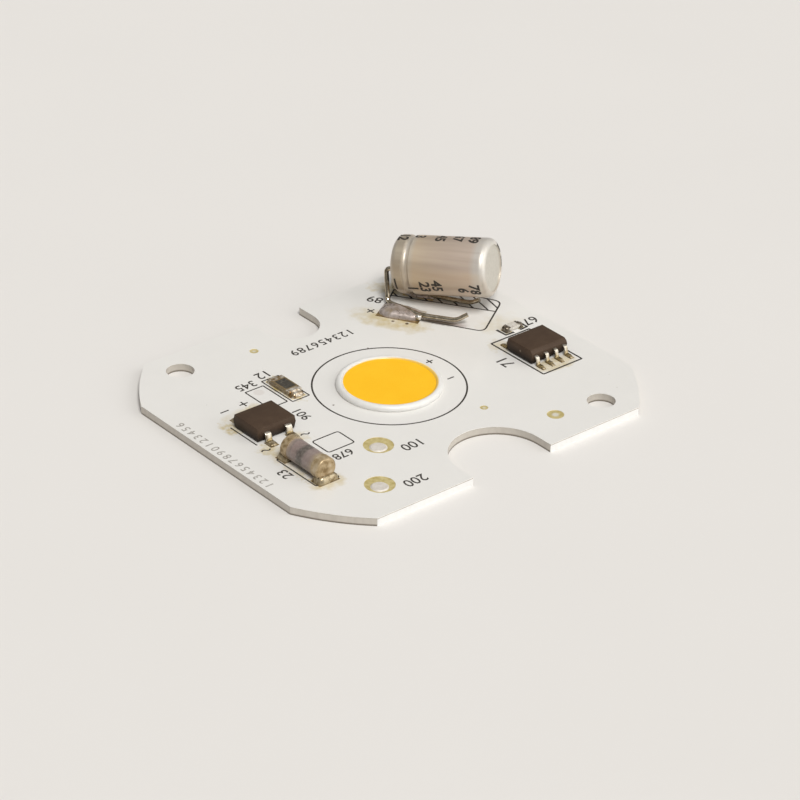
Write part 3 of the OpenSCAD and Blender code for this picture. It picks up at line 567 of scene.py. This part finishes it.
def dark_glaze_finish():
    """Dark resistor glaze, worn pale in patches and brown along its edges."""
    made = Finish("dark glaze", 0.28)
    low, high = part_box("sense_resistor_glaze")
    fine = made.grain(0.25 * MM, 4)
    tone = made.ramp(
        fine,
        (0.35, (0.030, 0.026, 0.020)),
        (0.62, (0.075, 0.066, 0.05)),
        (0.80, (0.20, 0.18, 0.14)),
    )
    edge = 0.0
    for letter, near, far in (("X", low.x, high.x), ("Y", low.y, high.y)):
        place = made.axis(letter)
        edge = made.maths("MAXIMUM", edge, made.rescale(place, near + 0.22 * MM, near + 0.06 * MM))
        edge = made.maths("MAXIMUM", edge, made.rescale(place, far - 0.22 * MM, far - 0.06 * MM))
    made.colour(made.mix(made.maths("MULTIPLY", edge, 0.85), tone, (0.24, 0.165, 0.07)))
    made.relief(fine, 0.008 * MM)
    return made


def gilt_copper_finish():
    """Gilt copper pads: olive gold, paler in the middle of the test pads, stained by flux."""
    made = Finish("gilt copper", 0.35, 0.35)
    colour = made.ramp(made.grain(0.5 * MM), (0.3, (0.58, 0.46, 0.17)), (0.7, (0.80, 0.68, 0.34)))
    for x, y, radius in ((-6.4, 13.92, 0.16), (4.59, -9.13, 0.14), (9.29, -14.48, 0.34)):
        patch = made.spot(on_board(x, y), radius * MM, 0.12 * MM)
        colour = made.mix(made.maths("MULTIPLY", patch, 0.85), colour, (0.88, 0.85, 0.78))
    for x, y, radius in ((10.9, 10.8, 3.6), (-16.4, -7.4, 4.6), (16.4, -7.6, 3.0), (-15.0, 1.0, 4.4)):
        patch = made.spot(on_board(x, y), radius * MM, 0.4 * MM)
        stain = made.rescale(made.grain(0.6 * MM), 0.35, 0.6, 0.7, 1.0)
        colour = made.mix(made.maths("MULTIPLY", patch, stain), colour, (0.20, 0.12, 0.04))
    corner = made.spot(on_board(12.9, 9.7), 1.1 * MM, 0.3 * MM, (0.6, 1, 1), math.radians(62))
    made.colour(made.mix(corner, colour, (0.62, 0.56, 0.46)))
    made.roughness(made.grain(0.4 * MM), 0.28, 0.45)
    made.relief(made.grain(0.5 * MM), 0.008 * MM)
    return made


finishes = {
    "white_mask": white_mask_finish(),
    "bare_aluminium": bare_aluminium_finish(),
    "dielectric": tinted(
        "filled epoxy layer", (0.42, 0.39, 0.33), (0.55, 0.51, 0.44),
        0.3 * MM, 0.6, 0, 0.01 * MM,
    ),
    "copper": gilt_copper_finish(),
    "silicone": silicone_finish(),
    "phosphor": phosphor_finish(),
    "die": tinted("semiconductor", (0.10, 0.11, 0.16), (0.18, 0.19, 0.26), 0.2 * MM, 0.15, 0.2),
    "gold_wire": tinted("gold wire", (0.72, 0.48, 0.12), (0.85, 0.62, 0.22), 0.1 * MM, 0.25, 1.0),
    "can": can_finish(),
    "sleeve": sleeve_finish(),
    "bung": tinted(
        "black rubber", (0.022, 0.020, 0.018), (0.05, 0.046, 0.042),
        0.3 * MM, 0.7, 0, 0.02 * MM,
    ),
    "foil_roll": tinted(
        "foil and paper", (0.35, 0.33, 0.30), (0.50, 0.47, 0.42),
        0.3 * MM, 0.6, 0.2,
    ),
    "tinned_wire": tinted(
        "tinned wire", (0.34, 0.28, 0.19), (0.64, 0.56, 0.44),
        0.5 * MM, 0.16, 0.95, 0.01 * MM,
    ),
    "solder": solder_finish(),
    "epoxy": epoxy_finish(),
    "lead_frame": lead_frame_finish(),
    "paddle": tinted("copper paddle", (0.45, 0.22, 0.12), (0.60, 0.32, 0.2), 0.3 * MM, 0.35, 0.9),
    "resistor_coat": resistor_coat_finish(),
    "end_cap": end_cap_finish(),
    "ceramic": ceramic_finish(),
    "black_glaze": dark_glaze_finish(),
    "pale_glaze": tinted(
        "pale glaze", (0.50, 0.46, 0.40), (0.66, 0.62, 0.56),
        0.25 * MM, 0.35, 0, 0.006 * MM,
    ),
    "chip_plating": tinted(
        "chip plating", (0.50, 0.46, 0.38), (0.80, 0.76, 0.68),
        0.2 * MM, 0.22, 0.9, 0.008 * MM,
    ),
}
pad_finish = tinted(
    "tinned middle", (0.70, 0.64, 0.57), (0.80, 0.755, 0.69),
    0.4 * MM, 0.35, 0.2, 0.01 * MM,
)
stained_solder = tinted(
    "flux-stained solder", (0.16, 0.10, 0.035), (0.50, 0.42, 0.28),
    0.5 * MM, 0.3, 0.6, 0.02 * MM,
)
dark_solder = tinted(
    "burnt solder", (0.07, 0.045, 0.02), (0.42, 0.37, 0.30),
    0.35 * MM, 0.16, 0.7, 0.02 * MM,
)
golden_solder = tinted(
    "flux-gilt solder", (0.26, 0.16, 0.06), (0.86, 0.80, 0.70),
    0.45 * MM, 0.18, 0.6, 0.02 * MM,
)
bright_solder = tinted(
    "bright solder", (0.62, 0.58, 0.52), (0.84, 0.80, 0.74),
    0.3 * MM, 0.16, 0.85, 0.01 * MM,
)
faint_ink = tinted("faint print", (0.30, 0.28, 0.25), (0.42, 0.40, 0.37), 0.3 * MM, 0.6)
ink_finish = tinted("dark print", (0.026, 0.021, 0.016), (0.050, 0.042, 0.034), 0.3 * MM, 0.6)

frame_slots = {}
for name, node in nodes.items():
    for index, material in enumerate(node.data.materials):
        slot = material.name.split(".")[0]
        frame_slots.setdefault(name, slot)
        node.data.materials[index] = finishes[slot].material
solder_nodes = {
    pad_finish: ("wire_pad_solder",),
    stained_solder: ("fuse_resistor_solder", "rectifier_solder", "driver_solder"),
    dark_solder: ("bleed_resistor_solder", "bleed_resistor_terminals"),
    golden_solder: ("sense_resistor_solder", "sense_resistor_terminals"),
}
for finish, names in solder_nodes.items():
    for name in names:
        nodes[name].data.materials[0] = finish.material


# ---------------------------------------------------------------- pieces

MERGE_REACH = 0.0005 * MM
FLAT_ANGLE = math.radians(0.6)
ROUNDED_ANGLE = math.radians(28)
SPLIT_ROUNDS = 2
LUMP_RISE = 0.35 * MM


def keep_piece(piece, slot, *replaced):
    """Lets a finished piece ride on the module and hides the nodes it stands for. The slot is not used.
    """
    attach(piece, BODY)
    if replaced:
        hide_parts(*replaced)
    return piece


def plain_mesh(source, name):
    """Turns an object with modifiers or a curve into a plain mesh object at the origin."""
    bpy.context.view_layer.update()
    graph = bpy.context.evaluated_depsgraph_get()
    mesh = bpy.data.meshes.new_from_object(source.evaluated_get(graph))
    mesh.transform(source.matrix_world)
    materials = [slot.material for slot in source.material_slots]
    piece = placed(name, mesh)
    if not mesh.materials:
        for material in materials:
            mesh.materials.append(material)
    bpy.data.objects.remove(source)
    return piece


def merged_copy(node):
    """A copy of a CAD node's mesh with its loose triangles joined up."""
    shape = bmesh.new()
    shape.from_mesh(nodes[node].data)
    bmesh.ops.remove_doubles(shape, verts=shape.verts, dist=MERGE_REACH)
    return shape


def shade(mesh, angle):
    """Smooth shading that keeps edges sharper than the angle."""
    shape = bmesh.new()
    shape.from_mesh(mesh)
    for face in shape.faces:
        face.smooth = True
    for edge in shape.edges:
        edge.smooth = len(edge.link_faces) == 2 and edge.calc_face_angle(0) < math.radians(angle)
    shape.to_mesh(mesh)
    shape.free()


def softened(node, width):
    """Stands for a moulded or stamped node with its edges broken by a small round."""
    shape = merged_copy(node)
    bmesh.ops.dissolve_limit(shape, angle_limit=FLAT_ANGLE, verts=shape.verts, edges=shape.edges)
    mesh = mesh_of(shape, node + "_softened")
    source = placed(node + "_source", mesh)
    edge_round = source.modifiers.new("edge round", "BEVEL")
    edge_round.width = width
    edge_round.segments = 2
    edge_round.limit_method = "ANGLE"
    edge_round.angle_limit = ROUNDED_ANGLE
    edge_round.harden_normals = False
    mesh.materials.append(nodes[node].data.materials[0])
    piece = plain_mesh(source, node + "_softened")
    shade(piece.data, 35)
    return keep_piece(piece, frame_slots[node], node)


def melted(node, lump, size):
    """Stands for a solder node, with its facets smoothed and its skin slightly lumpy."""
    shape = merged_copy(node)
    bmesh.ops.triangulate(shape, faces=shape.faces)
    for turn in range(SPLIT_ROUNDS):
        long_edges = [edge for edge in shape.edges if edge.calc_length() > size]
        bmesh.ops.subdivide_edges(shape, edges=long_edges, cuts=1)
    bmesh.ops.triangulate(shape, faces=shape.faces)
    low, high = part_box(node)
    for vertex in shape.verts:
        height = min(1.0, max(0.0, (vertex.co.z - low.z) / LUMP_RISE))
        push = noise.noise(vertex.co / size * 0.45) * lump * height
        vertex.co += vertex.normal * push
        vertex.co.z = min(max(vertex.co.z, low.z), high.z)
    mesh = mesh_of(shape, node + "_melted")
    mesh.materials.append(nodes[node].data.materials[0])
    shade(mesh, 50)
    piece = placed(node + "_melted", mesh)
    return keep_piece(piece, frame_slots[node], node)


softened("driver_body", 0.09 * MM)
softened("rectifier_body", 0.10 * MM)
for package, count in (("driver", 8), ("rectifier", 4)):
    for number in range(1, count + 1):
        softened(f"{package}_lead_{number}", 0.035 * MM)
softened("sense_resistor_substrate", 0.03 * MM)
softened("bleed_resistor_substrate", 0.03 * MM)

for name in ("capacitor_solder_positive", "capacitor_solder_negative"):
    melted(name, 0.05 * MM, 0.22 * MM)
for owner in ("rectifier", "driver", "fuse_resistor", "sense_resistor", "bleed_resistor"):
    melted(owner + "_solder", 0.03 * MM, 0.16 * MM)


def solder_bead(name, place, size):
    """A small bright bead of solder, slightly lopsided."""
    shape = bmesh.new()
    bmesh.ops.create_icosphere(shape, subdivisions=4, radius=1)
    for vertex in shape.verts:
        wobble = 1 + 0.10 * noise.noise(vertex.co * 1.3 + Vector((3, 1, 2)))
        vertex.co = place + Vector([vertex.co[k] * size[k] * MM * wobble for k in range(3)])
    mesh = mesh_of(shape, name)
    mesh.materials.append(bright_solder.material)
    shade(mesh, 60)
    piece = placed(name, mesh)
    return keep_piece(piece, "solder")


solder_bead("lead_end_bead", on_board(11.15, 8.7) + Vector((0, 0, 0.36 * MM)), (0.36, 0.36, 0.36))


# ---------------------------------------------------------------- print on the board

INK_WIDTH = 0.15 * MM
INK_THICKNESS = 0.012 * MM
INK_SINK = 0.003 * MM
INK_MERGE_REACH = 0.0002 * MM


def line_tree():
    """Turns drawn paths into printed lines with a flat rectangular section."""
    tree = bpy.data.node_groups.new("printed lines", "GeometryNodeTree")
    sides = tree.interface
    sides.new_socket("Geometry", in_out="INPUT", socket_type="NodeSocketGeometry")
    sides.new_socket("Line width", in_out="INPUT", socket_type="NodeSocketFloat")
    sides.new_socket("Ink thickness", in_out="INPUT", socket_type="NodeSocketFloat")
    sides.new_socket("Ink", in_out="INPUT", socket_type="NodeSocketMaterial")
    sides.new_socket("Geometry", in_out="OUTPUT", socket_type="NodeSocketGeometry")
    add = tree.nodes.new
    join = tree.links.new
    start = add("NodeGroupInput")
    paths = add("GeometryNodeMeshToCurve")
    upright = add("GeometryNodeSetCurveNormal")
    upright.mode = "Z_UP"
    section = add("GeometryNodeCurvePrimitiveQuadrilateral")
    sweep = add("GeometryNodeCurveToMesh")
    sweep.inputs["Fill Caps"].default_value = True
    real = add("GeometryNodeRealizeInstances")
    paint = add("GeometryNodeSetMaterial")
    end = add("NodeGroupOutput")
    join(start.outputs["Geometry"], paths.inputs["Mesh"])
    join(paths.outputs["Curve"], upright.inputs["Curve"])
    join(start.outputs["Line width"], section.inputs["Width"])
    join(start.outputs["Ink thickness"], section.inputs["Height"])
    join(upright.outputs["Curve"], sweep.inputs["Curve"])
    join(section.outputs["Curve"], sweep.inputs["Profile Curve"])
    join(sweep.outputs["Mesh"], real.inputs["Geometry"])
    join(real.outputs["Geometry"], paint.inputs["Geometry"])
    join(start.outputs["Ink"], paint.inputs["Material"])
    join(paint.outputs["Geometry"], end.inputs["Geometry"])
    return tree


def set_inputs(modifier, values):
    """Sets a Geometry Nodes modifier's inputs by their identifiers."""
    for item in modifier.node_group.interface.items_tree:
        if item.in_out == "INPUT" and item.name in values:
            modifier[item.identifier] = values[item.name]


def mended(piece):
    """Merges doubles and turns every face outwards."""
    shape = bmesh.new()
    shape.from_mesh(piece.data)
    bmesh.ops.remove_doubles(shape, verts=shape.verts, dist=INK_MERGE_REACH)
    bmesh.ops.recalc_face_normals(shape, faces=shape.faces)
    shape.to_mesh(piece.data)
    shape.free()
    return piece


def printed(name, paths, width=INK_WIDTH):
    """Prints paths on the board. Each path is (points in millimetres, closed)."""
    verts = []
    edges = []
    height = board_top - INK_SINK + INK_THICKNESS / 2
    for points, closed in paths:
        first = len(verts)
        for x, y in points:
            verts.append((source_middle.x + x * MM, source_middle.y + y * MM, height))
        last = len(verts) - 1
        edges += [(i, i + 1) for i in range(first, last)]
        if closed:
            edges.append((last, first))
    mesh = bpy.data.meshes.new(name + "_paths")
    mesh.from_pydata(verts, edges, [])
    source = placed(name + "_paths", mesh)
    lines = source.modifiers.new("printed lines", "NODES")
    lines.node_group = LINE_TREE
    set_inputs(lines, {
        "Line width": width, "Ink thickness": INK_THICKNESS, "Ink": ink_finish.material,
    })
    return keep_piece(mended(plain_mesh(source, name)), "black_glaze")


LINE_TREE = line_tree()


def ring(radius):
    """Points round a circle about the light source's middle."""
    steps = 120
    angles = [math.tau * i / steps for i in range(steps)]
    return [(radius * math.cos(angle), radius * math.sin(angle)) for angle in angles]


def rounded(corners, radius, steps=5):
    """A closed outline with its corners rounded."""
    points = []
    for i, corner in enumerate(corners):
        here = Vector(corner)
        before = Vector(corners[i - 1]) - here
        after = Vector(corners[(i + 1) % len(corners)]) - here
        reach = min(radius, before.length / 2, after.length / 2)
        start = here + before.normalized() * reach
        finish = here + after.normalized() * reach
        for step in range(steps + 1):
            t = step / steps
            points.append(tuple(start * (1 - t) ** 2 + here * 2 * t * (1 - t) + finish * t ** 2))
    return points


def rectangle(x0, y0, x1, y1, radius=0.08):
    """An upright rectangle with slightly rounded corners."""
    return rounded([(x0, y0), (x1, y0), (x1, y1), (x0, y1)], radius, 3)


CLOSED = True
OPEN = False

printed("ring_print", [(ring(7.79), CLOSED)], 0.18 * MM)

CAPACITOR_OUTLINE = [(9.06, 12.29), (14.94, 2.67), (20.75, 6.49), (15.1, 16.62)]
DIVIDER = [(12.4, 14.68), (18.78, 5.22)]
HATCH_HEADING = Vector((0.22, 0.975))
HATCH_FIRST = Vector((12.78, 14.05))
HATCH_STEP = Vector((0.93, -1.36))
HATCH_LAST = Vector((19.45, 5.68))
HATCH_COUNT = 8
NEAREST_SIDE = 0.05


def crossing(start, heading, a, b):
    """How far along a heading a line meets the side from a to b, or None."""
    side = b - a
    size = heading.x * side.y - heading.y * side.x
    gap = a - start
    away = (gap.x * side.y - gap.y * side.x) / size
    share = (gap.x * heading.y - gap.y * heading.x) / size
    return away if away > NEAREST_SIDE and 0 <= share <= 1 else None


def hatching():
    """Slanted strokes that fill the outline's negative half."""
    corners = [Vector(corner) for corner in CAPACITOR_OUTLINE]
    sides = list(zip(corners, corners[1:] + corners[:1]))
    feet = [HATCH_FIRST + HATCH_STEP * i for i in range(HATCH_COUNT - 1)] + [HATCH_LAST]
    strokes = []
    for foot in feet:
        reaches = [crossing(foot, HATCH_HEADING, a, b) for a, b in sides]
        reaches = [away for away in reaches if away]
        if reaches:
            strokes.append(([tuple(foot), tuple(foot + HATCH_HEADING * min(reaches))], OPEN))
    return strokes


printed("capacitor_print", [
    (rounded(CAPACITOR_OUTLINE, 0.9), CLOSED),
    (DIVIDER, OPEN),
    *hatching(),
], 0.18 * MM)

printed("parts_print", [
    (rectangle(-9.66, 3.4, -7.55, 8.45), CLOSED),
    (rectangle(-12.3, 3.76, -10.05, 7.7), CLOSED),
    (rectangle(-13.0, -6.45, -9.75, -3.85, 0.3), CLOSED),
    ([(-17.62, -1.15), (-17.62, 3.1)], OPEN),
    (rectangle(-17.8, -10.55, -15.0, -4.4, 0.2), CLOSED),
])
printed("driver_print", [(rectangle(13.8, -7.77, 19.06, 0.25, 0.1), CLOSED)], 0.20 * MM)
printed("bleed_resistor_print", [
    ([(16.18, 2.12), (16.24, 0.71), (17.33, 0.69)], OPEN),
    ([(18.18, 0.71), (19.19, 0.75), (19.19, 2.0)], OPEN),
], 0.30 * MM)


def plus(x, y, reach=0.42):
    """The strokes of a plus sign."""
    return [([(x - reach, y), (x + reach, y)], OPEN), ([(x, y - reach), (x, y + reach)], OPEN)]


def minus(x, y, reach=0.42):
    """The stroke of a minus sign."""
    return [([(x - reach, y), (x + reach, y)], OPEN)]


def wave(x, y):
    """The stroke of a mains sign, one full wave."""
    reach = 0.5
    swing = 0.16
    steps = [i / 8 for i in range(9)]
    points = [(x + reach * (2 * t - 1), y + swing * math.sin(math.tau * t)) for t in steps]
    return [(points, OPEN)]


printed("sign_print", [
    *plus(6.35, 1.3), *minus(5.85, -2.6), *plus(8.5, 13.3, 0.5),
    *minus(-16.2, 5.95, 0.5), *plus(-13.8, 6.0, 0.5),
    *wave(-17.5, -2.4), *wave(-12.6, -2.3),
], 0.16 * MM)


LETTER_SIZE = 1.35


def flat_number(text, height, thicken):
    """A plain number in ink, lying flat round the origin."""
    letters = bpy.data.curves.new("number_" + text, "FONT")
    letters.body = text
    letters.size = height * LETTER_SIZE * MM
    letters.align_x = "CENTER"
    letters.align_y = "CENTER"
    letters.extrude = INK_THICKNESS / 2
    letters.offset = thicken * MM
    letters.resolution_u = 3
    letters.materials.append(ink_finish.material)
    source = placed("number_" + text, letters)
    return mended(plain_mesh(source, "number_" + text))


def numeral(text, x, y, height, turn):
    """A plain number printed at a place on the board."""
    piece = flat_number(text, height, 0.012)
    place = on_board(x, y) + Vector((0, 0, INK_THICKNESS / 2 - INK_SINK))
    piece.data.transform(Matrix.Translation(place) @ Matrix.Rotation(math.radians(turn), 4, "Z"))
    return piece


def joined(name, pieces):
    """Joins several plain meshes into one piece."""
    shape = bmesh.new()
    for piece in pieces:
        shape.from_mesh(piece.data)
    mesh = mesh_of(shape, name)
    mesh.materials.append(pieces[0].data.materials[0])
    for piece in pieces:
        bpy.data.objects.remove(piece)
    made = placed(name, mesh)
    return made


numbers = [
    numeral("12", -8.7, 9.5, 1.3, 180),
    numeral("345", -11.45, 8.75, 1.2, 180),
    numeral("678", -12.1, -7.5, 1.15, 180),
    numeral("901", -10.45, 0.95, 1.15, 90),
    numeral("23", -18.75, -7.0, 1.2, 90),
    numeral("71", 12.4, -3.5, 1.45, 90),
    numeral("67", 20.3, 1.55, 1.35, 180),
    numeral("89", 10.5, 15.0, 1.3, 120),
    numeral("100", -5.6, -10.2, 1.3, 180),
    numeral("200", -9.7, -15.45, 1.3, 180),
]
keep_piece(joined("number_print", numbers), "black_glaze")


def number_row(name, start, end, height, turn, count, ink):
    """Plain numbers in a row between two points, like those on a rule."""
    a = Vector(start)
    b = Vector(end)
    pieces = []
    for i in range(count):
        x, y = a.lerp(b, i / (count - 1))
        pieces.append(numeral(str((i + 1) % 10), x, y, height, turn))
    row = joined(name, pieces)
    row.data.materials[0] = ink.material
    return keep_piece(row, "black_glaze")


number_row("back_numbers_print", (3.9, 11.15), (-3.4, 11.15), 1.15, 180, 9, ink_finish)
number_row("edge_numbers_print", (-21.15, -7.7), (-21.15, 6.5), 0.95, 90, 16, faint_ink)


# ---------------------------------------------------------------- print on the sleeve

BEND_CUTS = 12
BEND_STEP = 0.2 * MM
SLEEVE_INK_LIFT = 0.002 * MM


def wrapped(piece, share, around):
    """Bends a flat printed shape round the sleeve, its top towards the closed end.

    It lies at a share of the can's length, and at an angle round the can where 90 is the top.
    """
    shape = bmesh.new()
    shape.from_mesh(piece.data)
    for step in range(-BEND_CUTS, BEND_CUTS + 1):
        every = shape.verts[:] + shape.edges[:] + shape.faces[:]
        cut_at = (step * BEND_STEP, 0, 0)
        bmesh.ops.bisect_plane(shape, geom=every, plane_co=cut_at, plane_no=(1, 0, 0), dist=1e-8)
    for vertex in shape.verts:
        angle = math.radians(around) + vertex.co.x / CAN_RADIUS
        out = can_across * math.cos(angle) + can_upward * math.sin(angle)
        reach = CAN_RADIUS + SLEEVE_INK_LIFT + vertex.co.z
        slide = (share - 0.5) * CAN_LENGTH + vertex.co.y
        vertex.co = can_middle + can_along * slide + out * reach
    shape.to_mesh(piece.data)
    shape.free()
    return mended(piece)


def bar(length, width):
    """A flat printed bar, round the sleeve by length and along it by width."""
    shape = bmesh.new()
    bmesh.ops.create_cube(shape, size=1)
    bmesh.ops.scale(shape, vec=(length * MM, width * MM, INK_THICKNESS), verts=shape.verts)
    mesh = mesh_of(shape, "bar")
    mesh.materials.append(ink_finish.material)
    piece = placed("bar", mesh)
    return piece


# Number, share of the can's length from its lead end, and angle round the can
sleeve_numbers = (
    ("12", 0.085, 88), ("3", 0.25, 84), ("45", 0.475, 87), ("67", 0.655, 84), ("89", 0.825, 88),
    ("1", 0.225, 207), ("23", 0.355, 203), ("45", 0.485, 199), ("6", 0.755, 207), ("78", 0.88, 204),
    ("12", 0.15, 315), ("34", 0.35, 320), ("56", 0.55, 312), ("78", 0.75, 318),
    ("1", 0.25, 20), ("23", 0.5, 15), ("45", 0.7, 12),
)
sleeve_marks = [
    wrapped(flat_number(text, 1.15, 0.05), share, around) for text, share, around in sleeve_numbers
]
sleeve_marks += [
    wrapped(bar(0.75, 0.3), 0.94, 12), wrapped(bar(0.75, 0.3), 0.94, 345),
    wrapped(bar(1.5, 0.2), 0.055, 198),
]

RIM_ROUND = 0.65 * MM
RIM_INK_LOW = -0.003 * MM
RIM_INK_HIGH = 0.010 * MM
RIM_STEPS = 8
RIM_CROSS_STEPS = 4


def rim_bar(start, end, low, high):
    """A printed bar on the sleeve's round at the closed end.

    It runs from start to end round the rim and from low to high over the round, in degrees.
    """
    inner = CAN_RADIUS - RIM_ROUND
    shape = bmesh.new()
    layers = []
    for lift in (RIM_INK_LOW, RIM_INK_HIGH):
        grid = []
        for i in range(RIM_STEPS + 1):
            around = math.radians(start + (end - start) * i / RIM_STEPS)
            out = can_across * math.cos(around) + can_upward * math.sin(around)
            row = []
            for j in range(RIM_CROSS_STEPS + 1):
                turn = math.radians(low + (high - low) * j / RIM_CROSS_STEPS)
                reach = inner + (RIM_ROUND + lift) * math.cos(turn)
                slide = CAN_LENGTH / 2 - RIM_ROUND + (RIM_ROUND + lift) * math.sin(turn)
                row.append(shape.verts.new(can_middle + can_along * slide + out * reach))
            grid.append(row)
        layers.append(grid)
    under, over = layers
    for i in range(RIM_STEPS):
        for j in range(RIM_CROSS_STEPS):
            shape.faces.new([over[i][j], over[i + 1][j], over[i + 1][j + 1], over[i][j + 1]])
            shape.faces.new([under[i][j], under[i][j + 1], under[i + 1][j + 1], under[i + 1][j]])
    border = [(i, 0) for i in range(RIM_STEPS)]
    border += [(RIM_STEPS, j) for j in range(RIM_CROSS_STEPS)]
    border += [(i, RIM_CROSS_STEPS) for i in range(RIM_STEPS, 0, -1)]
    border += [(0, j) for j in range(RIM_CROSS_STEPS, 0, -1)]
    for (i, j), (k, m) in zip(border, border[1:] + border[:1]):
        shape.faces.new([under[i][j], under[k][m], over[k][m], over[i][j]])
    bmesh.ops.recalc_face_normals(shape, faces=shape.faces)
    mesh = mesh_of(shape, "rim_bar")
    mesh.materials.append(ink_finish.material)
    return placed("rim_bar", mesh)


sleeve_marks += [rim_bar(16, 44, 36, 89), rim_bar(-22, 4, 36, 89)]
sleeve_print = joined("sleeve_print", sleeve_marks)
shade(sleeve_print.data, 40)
keep_piece(sleeve_print, "black_glaze")


# ---------------------------------------------------------------- floor and light

FLOOR = (0.755, 0.732, 0.705)
FLOOR_GAP = 0.002 * MM
LIGHT_COLOUR = (1.0, 0.99, 0.97)
SURROUND_LOW = 0.14
SURROUND_HIGH = 0.38
WINDOW = Vector((0.60, -0.71, 0.38))
WINDOW_STRENGTH = 1.7
WINDOW_OUTER = math.radians(38)
WINDOW_INNER = math.radians(18)
LAMP_STRENGTH = 2.3
LAMP_SPREAD = math.radians(22)
LAMP_FALL = Vector((0.205, 0.515, -0.832))


def make_floor():
    """A plain pale floor that carries the module's shadow."""
    half = 3.0
    height = cad_low.z - FLOOR_GAP
    corners = [(-half, -half), (half, -half), (half, half), (-half, half)]
    mesh = bpy.data.meshes.new("floor")
    mesh.from_pydata([(x, y, height) for x, y in corners], [], [(0, 1, 2, 3)])
    made = Finish("pale floor", 0.7)
    made.colour(made.ramp(made.grain(30 * MM, 2), (0.3, FLOOR), (0.7, tuple(c * 1.01 for c in FLOOR))))
    made.set("Specular IOR Level", 0.2)
    mesh.materials.append(made.material)
    floor = placed("floor", mesh)


def make_light():
    """Studio light: a surround that brightens upwards, a low window and a soft overhead lamp."""
    world = bpy.data.worlds.new("surround")
    bpy.context.scene.world = world
    world.use_nodes = True
    tree = world.node_tree
    coords = tree.nodes.new("ShaderNodeTexCoord")
    height = tree.nodes.new("ShaderNodeSeparateXYZ")
    tree.links.new(coords.outputs["Generated"], height.inputs[0])
    rise = tree.nodes.new("ShaderNodeMapRange")
    rise.inputs["To Min"].default_value = SURROUND_LOW
    rise.inputs["To Max"].default_value = SURROUND_HIGH
    tree.links.new(height.outputs["Z"], rise.inputs["Value"])
    facing = tree.nodes.new("ShaderNodeVectorMath")
    facing.operation = "DOT_PRODUCT"
    tree.links.new(coords.outputs["Generated"], facing.inputs[0])
    facing.inputs[1].default_value = WINDOW.normalized()
    window = tree.nodes.new("ShaderNodeMapRange")
    window.interpolation_type = "SMOOTHSTEP"
    window.inputs["From Min"].default_value = math.cos(WINDOW_OUTER)
    window.inputs["From Max"].default_value = math.cos(WINDOW_INNER)
    window.inputs["To Max"].default_value = WINDOW_STRENGTH
    tree.links.new(facing.outputs["Value"], window.inputs["Value"])
    total = tree.nodes.new("ShaderNodeMath")
    total.operation = "ADD"
    tree.links.new(rise.outputs["Result"], total.inputs[0])
    tree.links.new(window.outputs["Result"], total.inputs[1])
    background = tree.nodes["Background"]
    background.inputs["Color"].default_value = (*LIGHT_COLOUR, 1)
    tree.links.new(total.outputs[0], background.inputs["Strength"])
    lamp = bpy.data.lights.new("overhead", "SUN")
    lamp.energy = LAMP_STRENGTH
    lamp.angle = LAMP_SPREAD
    lamp.color = LIGHT_COLOUR
    overhead = placed("overhead", lamp)
    overhead.rotation_mode = "QUATERNION"
    overhead.rotation_quaternion = LAMP_FALL.to_track_quat("-Z", "Y")


make_floor()
make_light()
bpy.context.scene.view_settings.view_transform = "Standard"
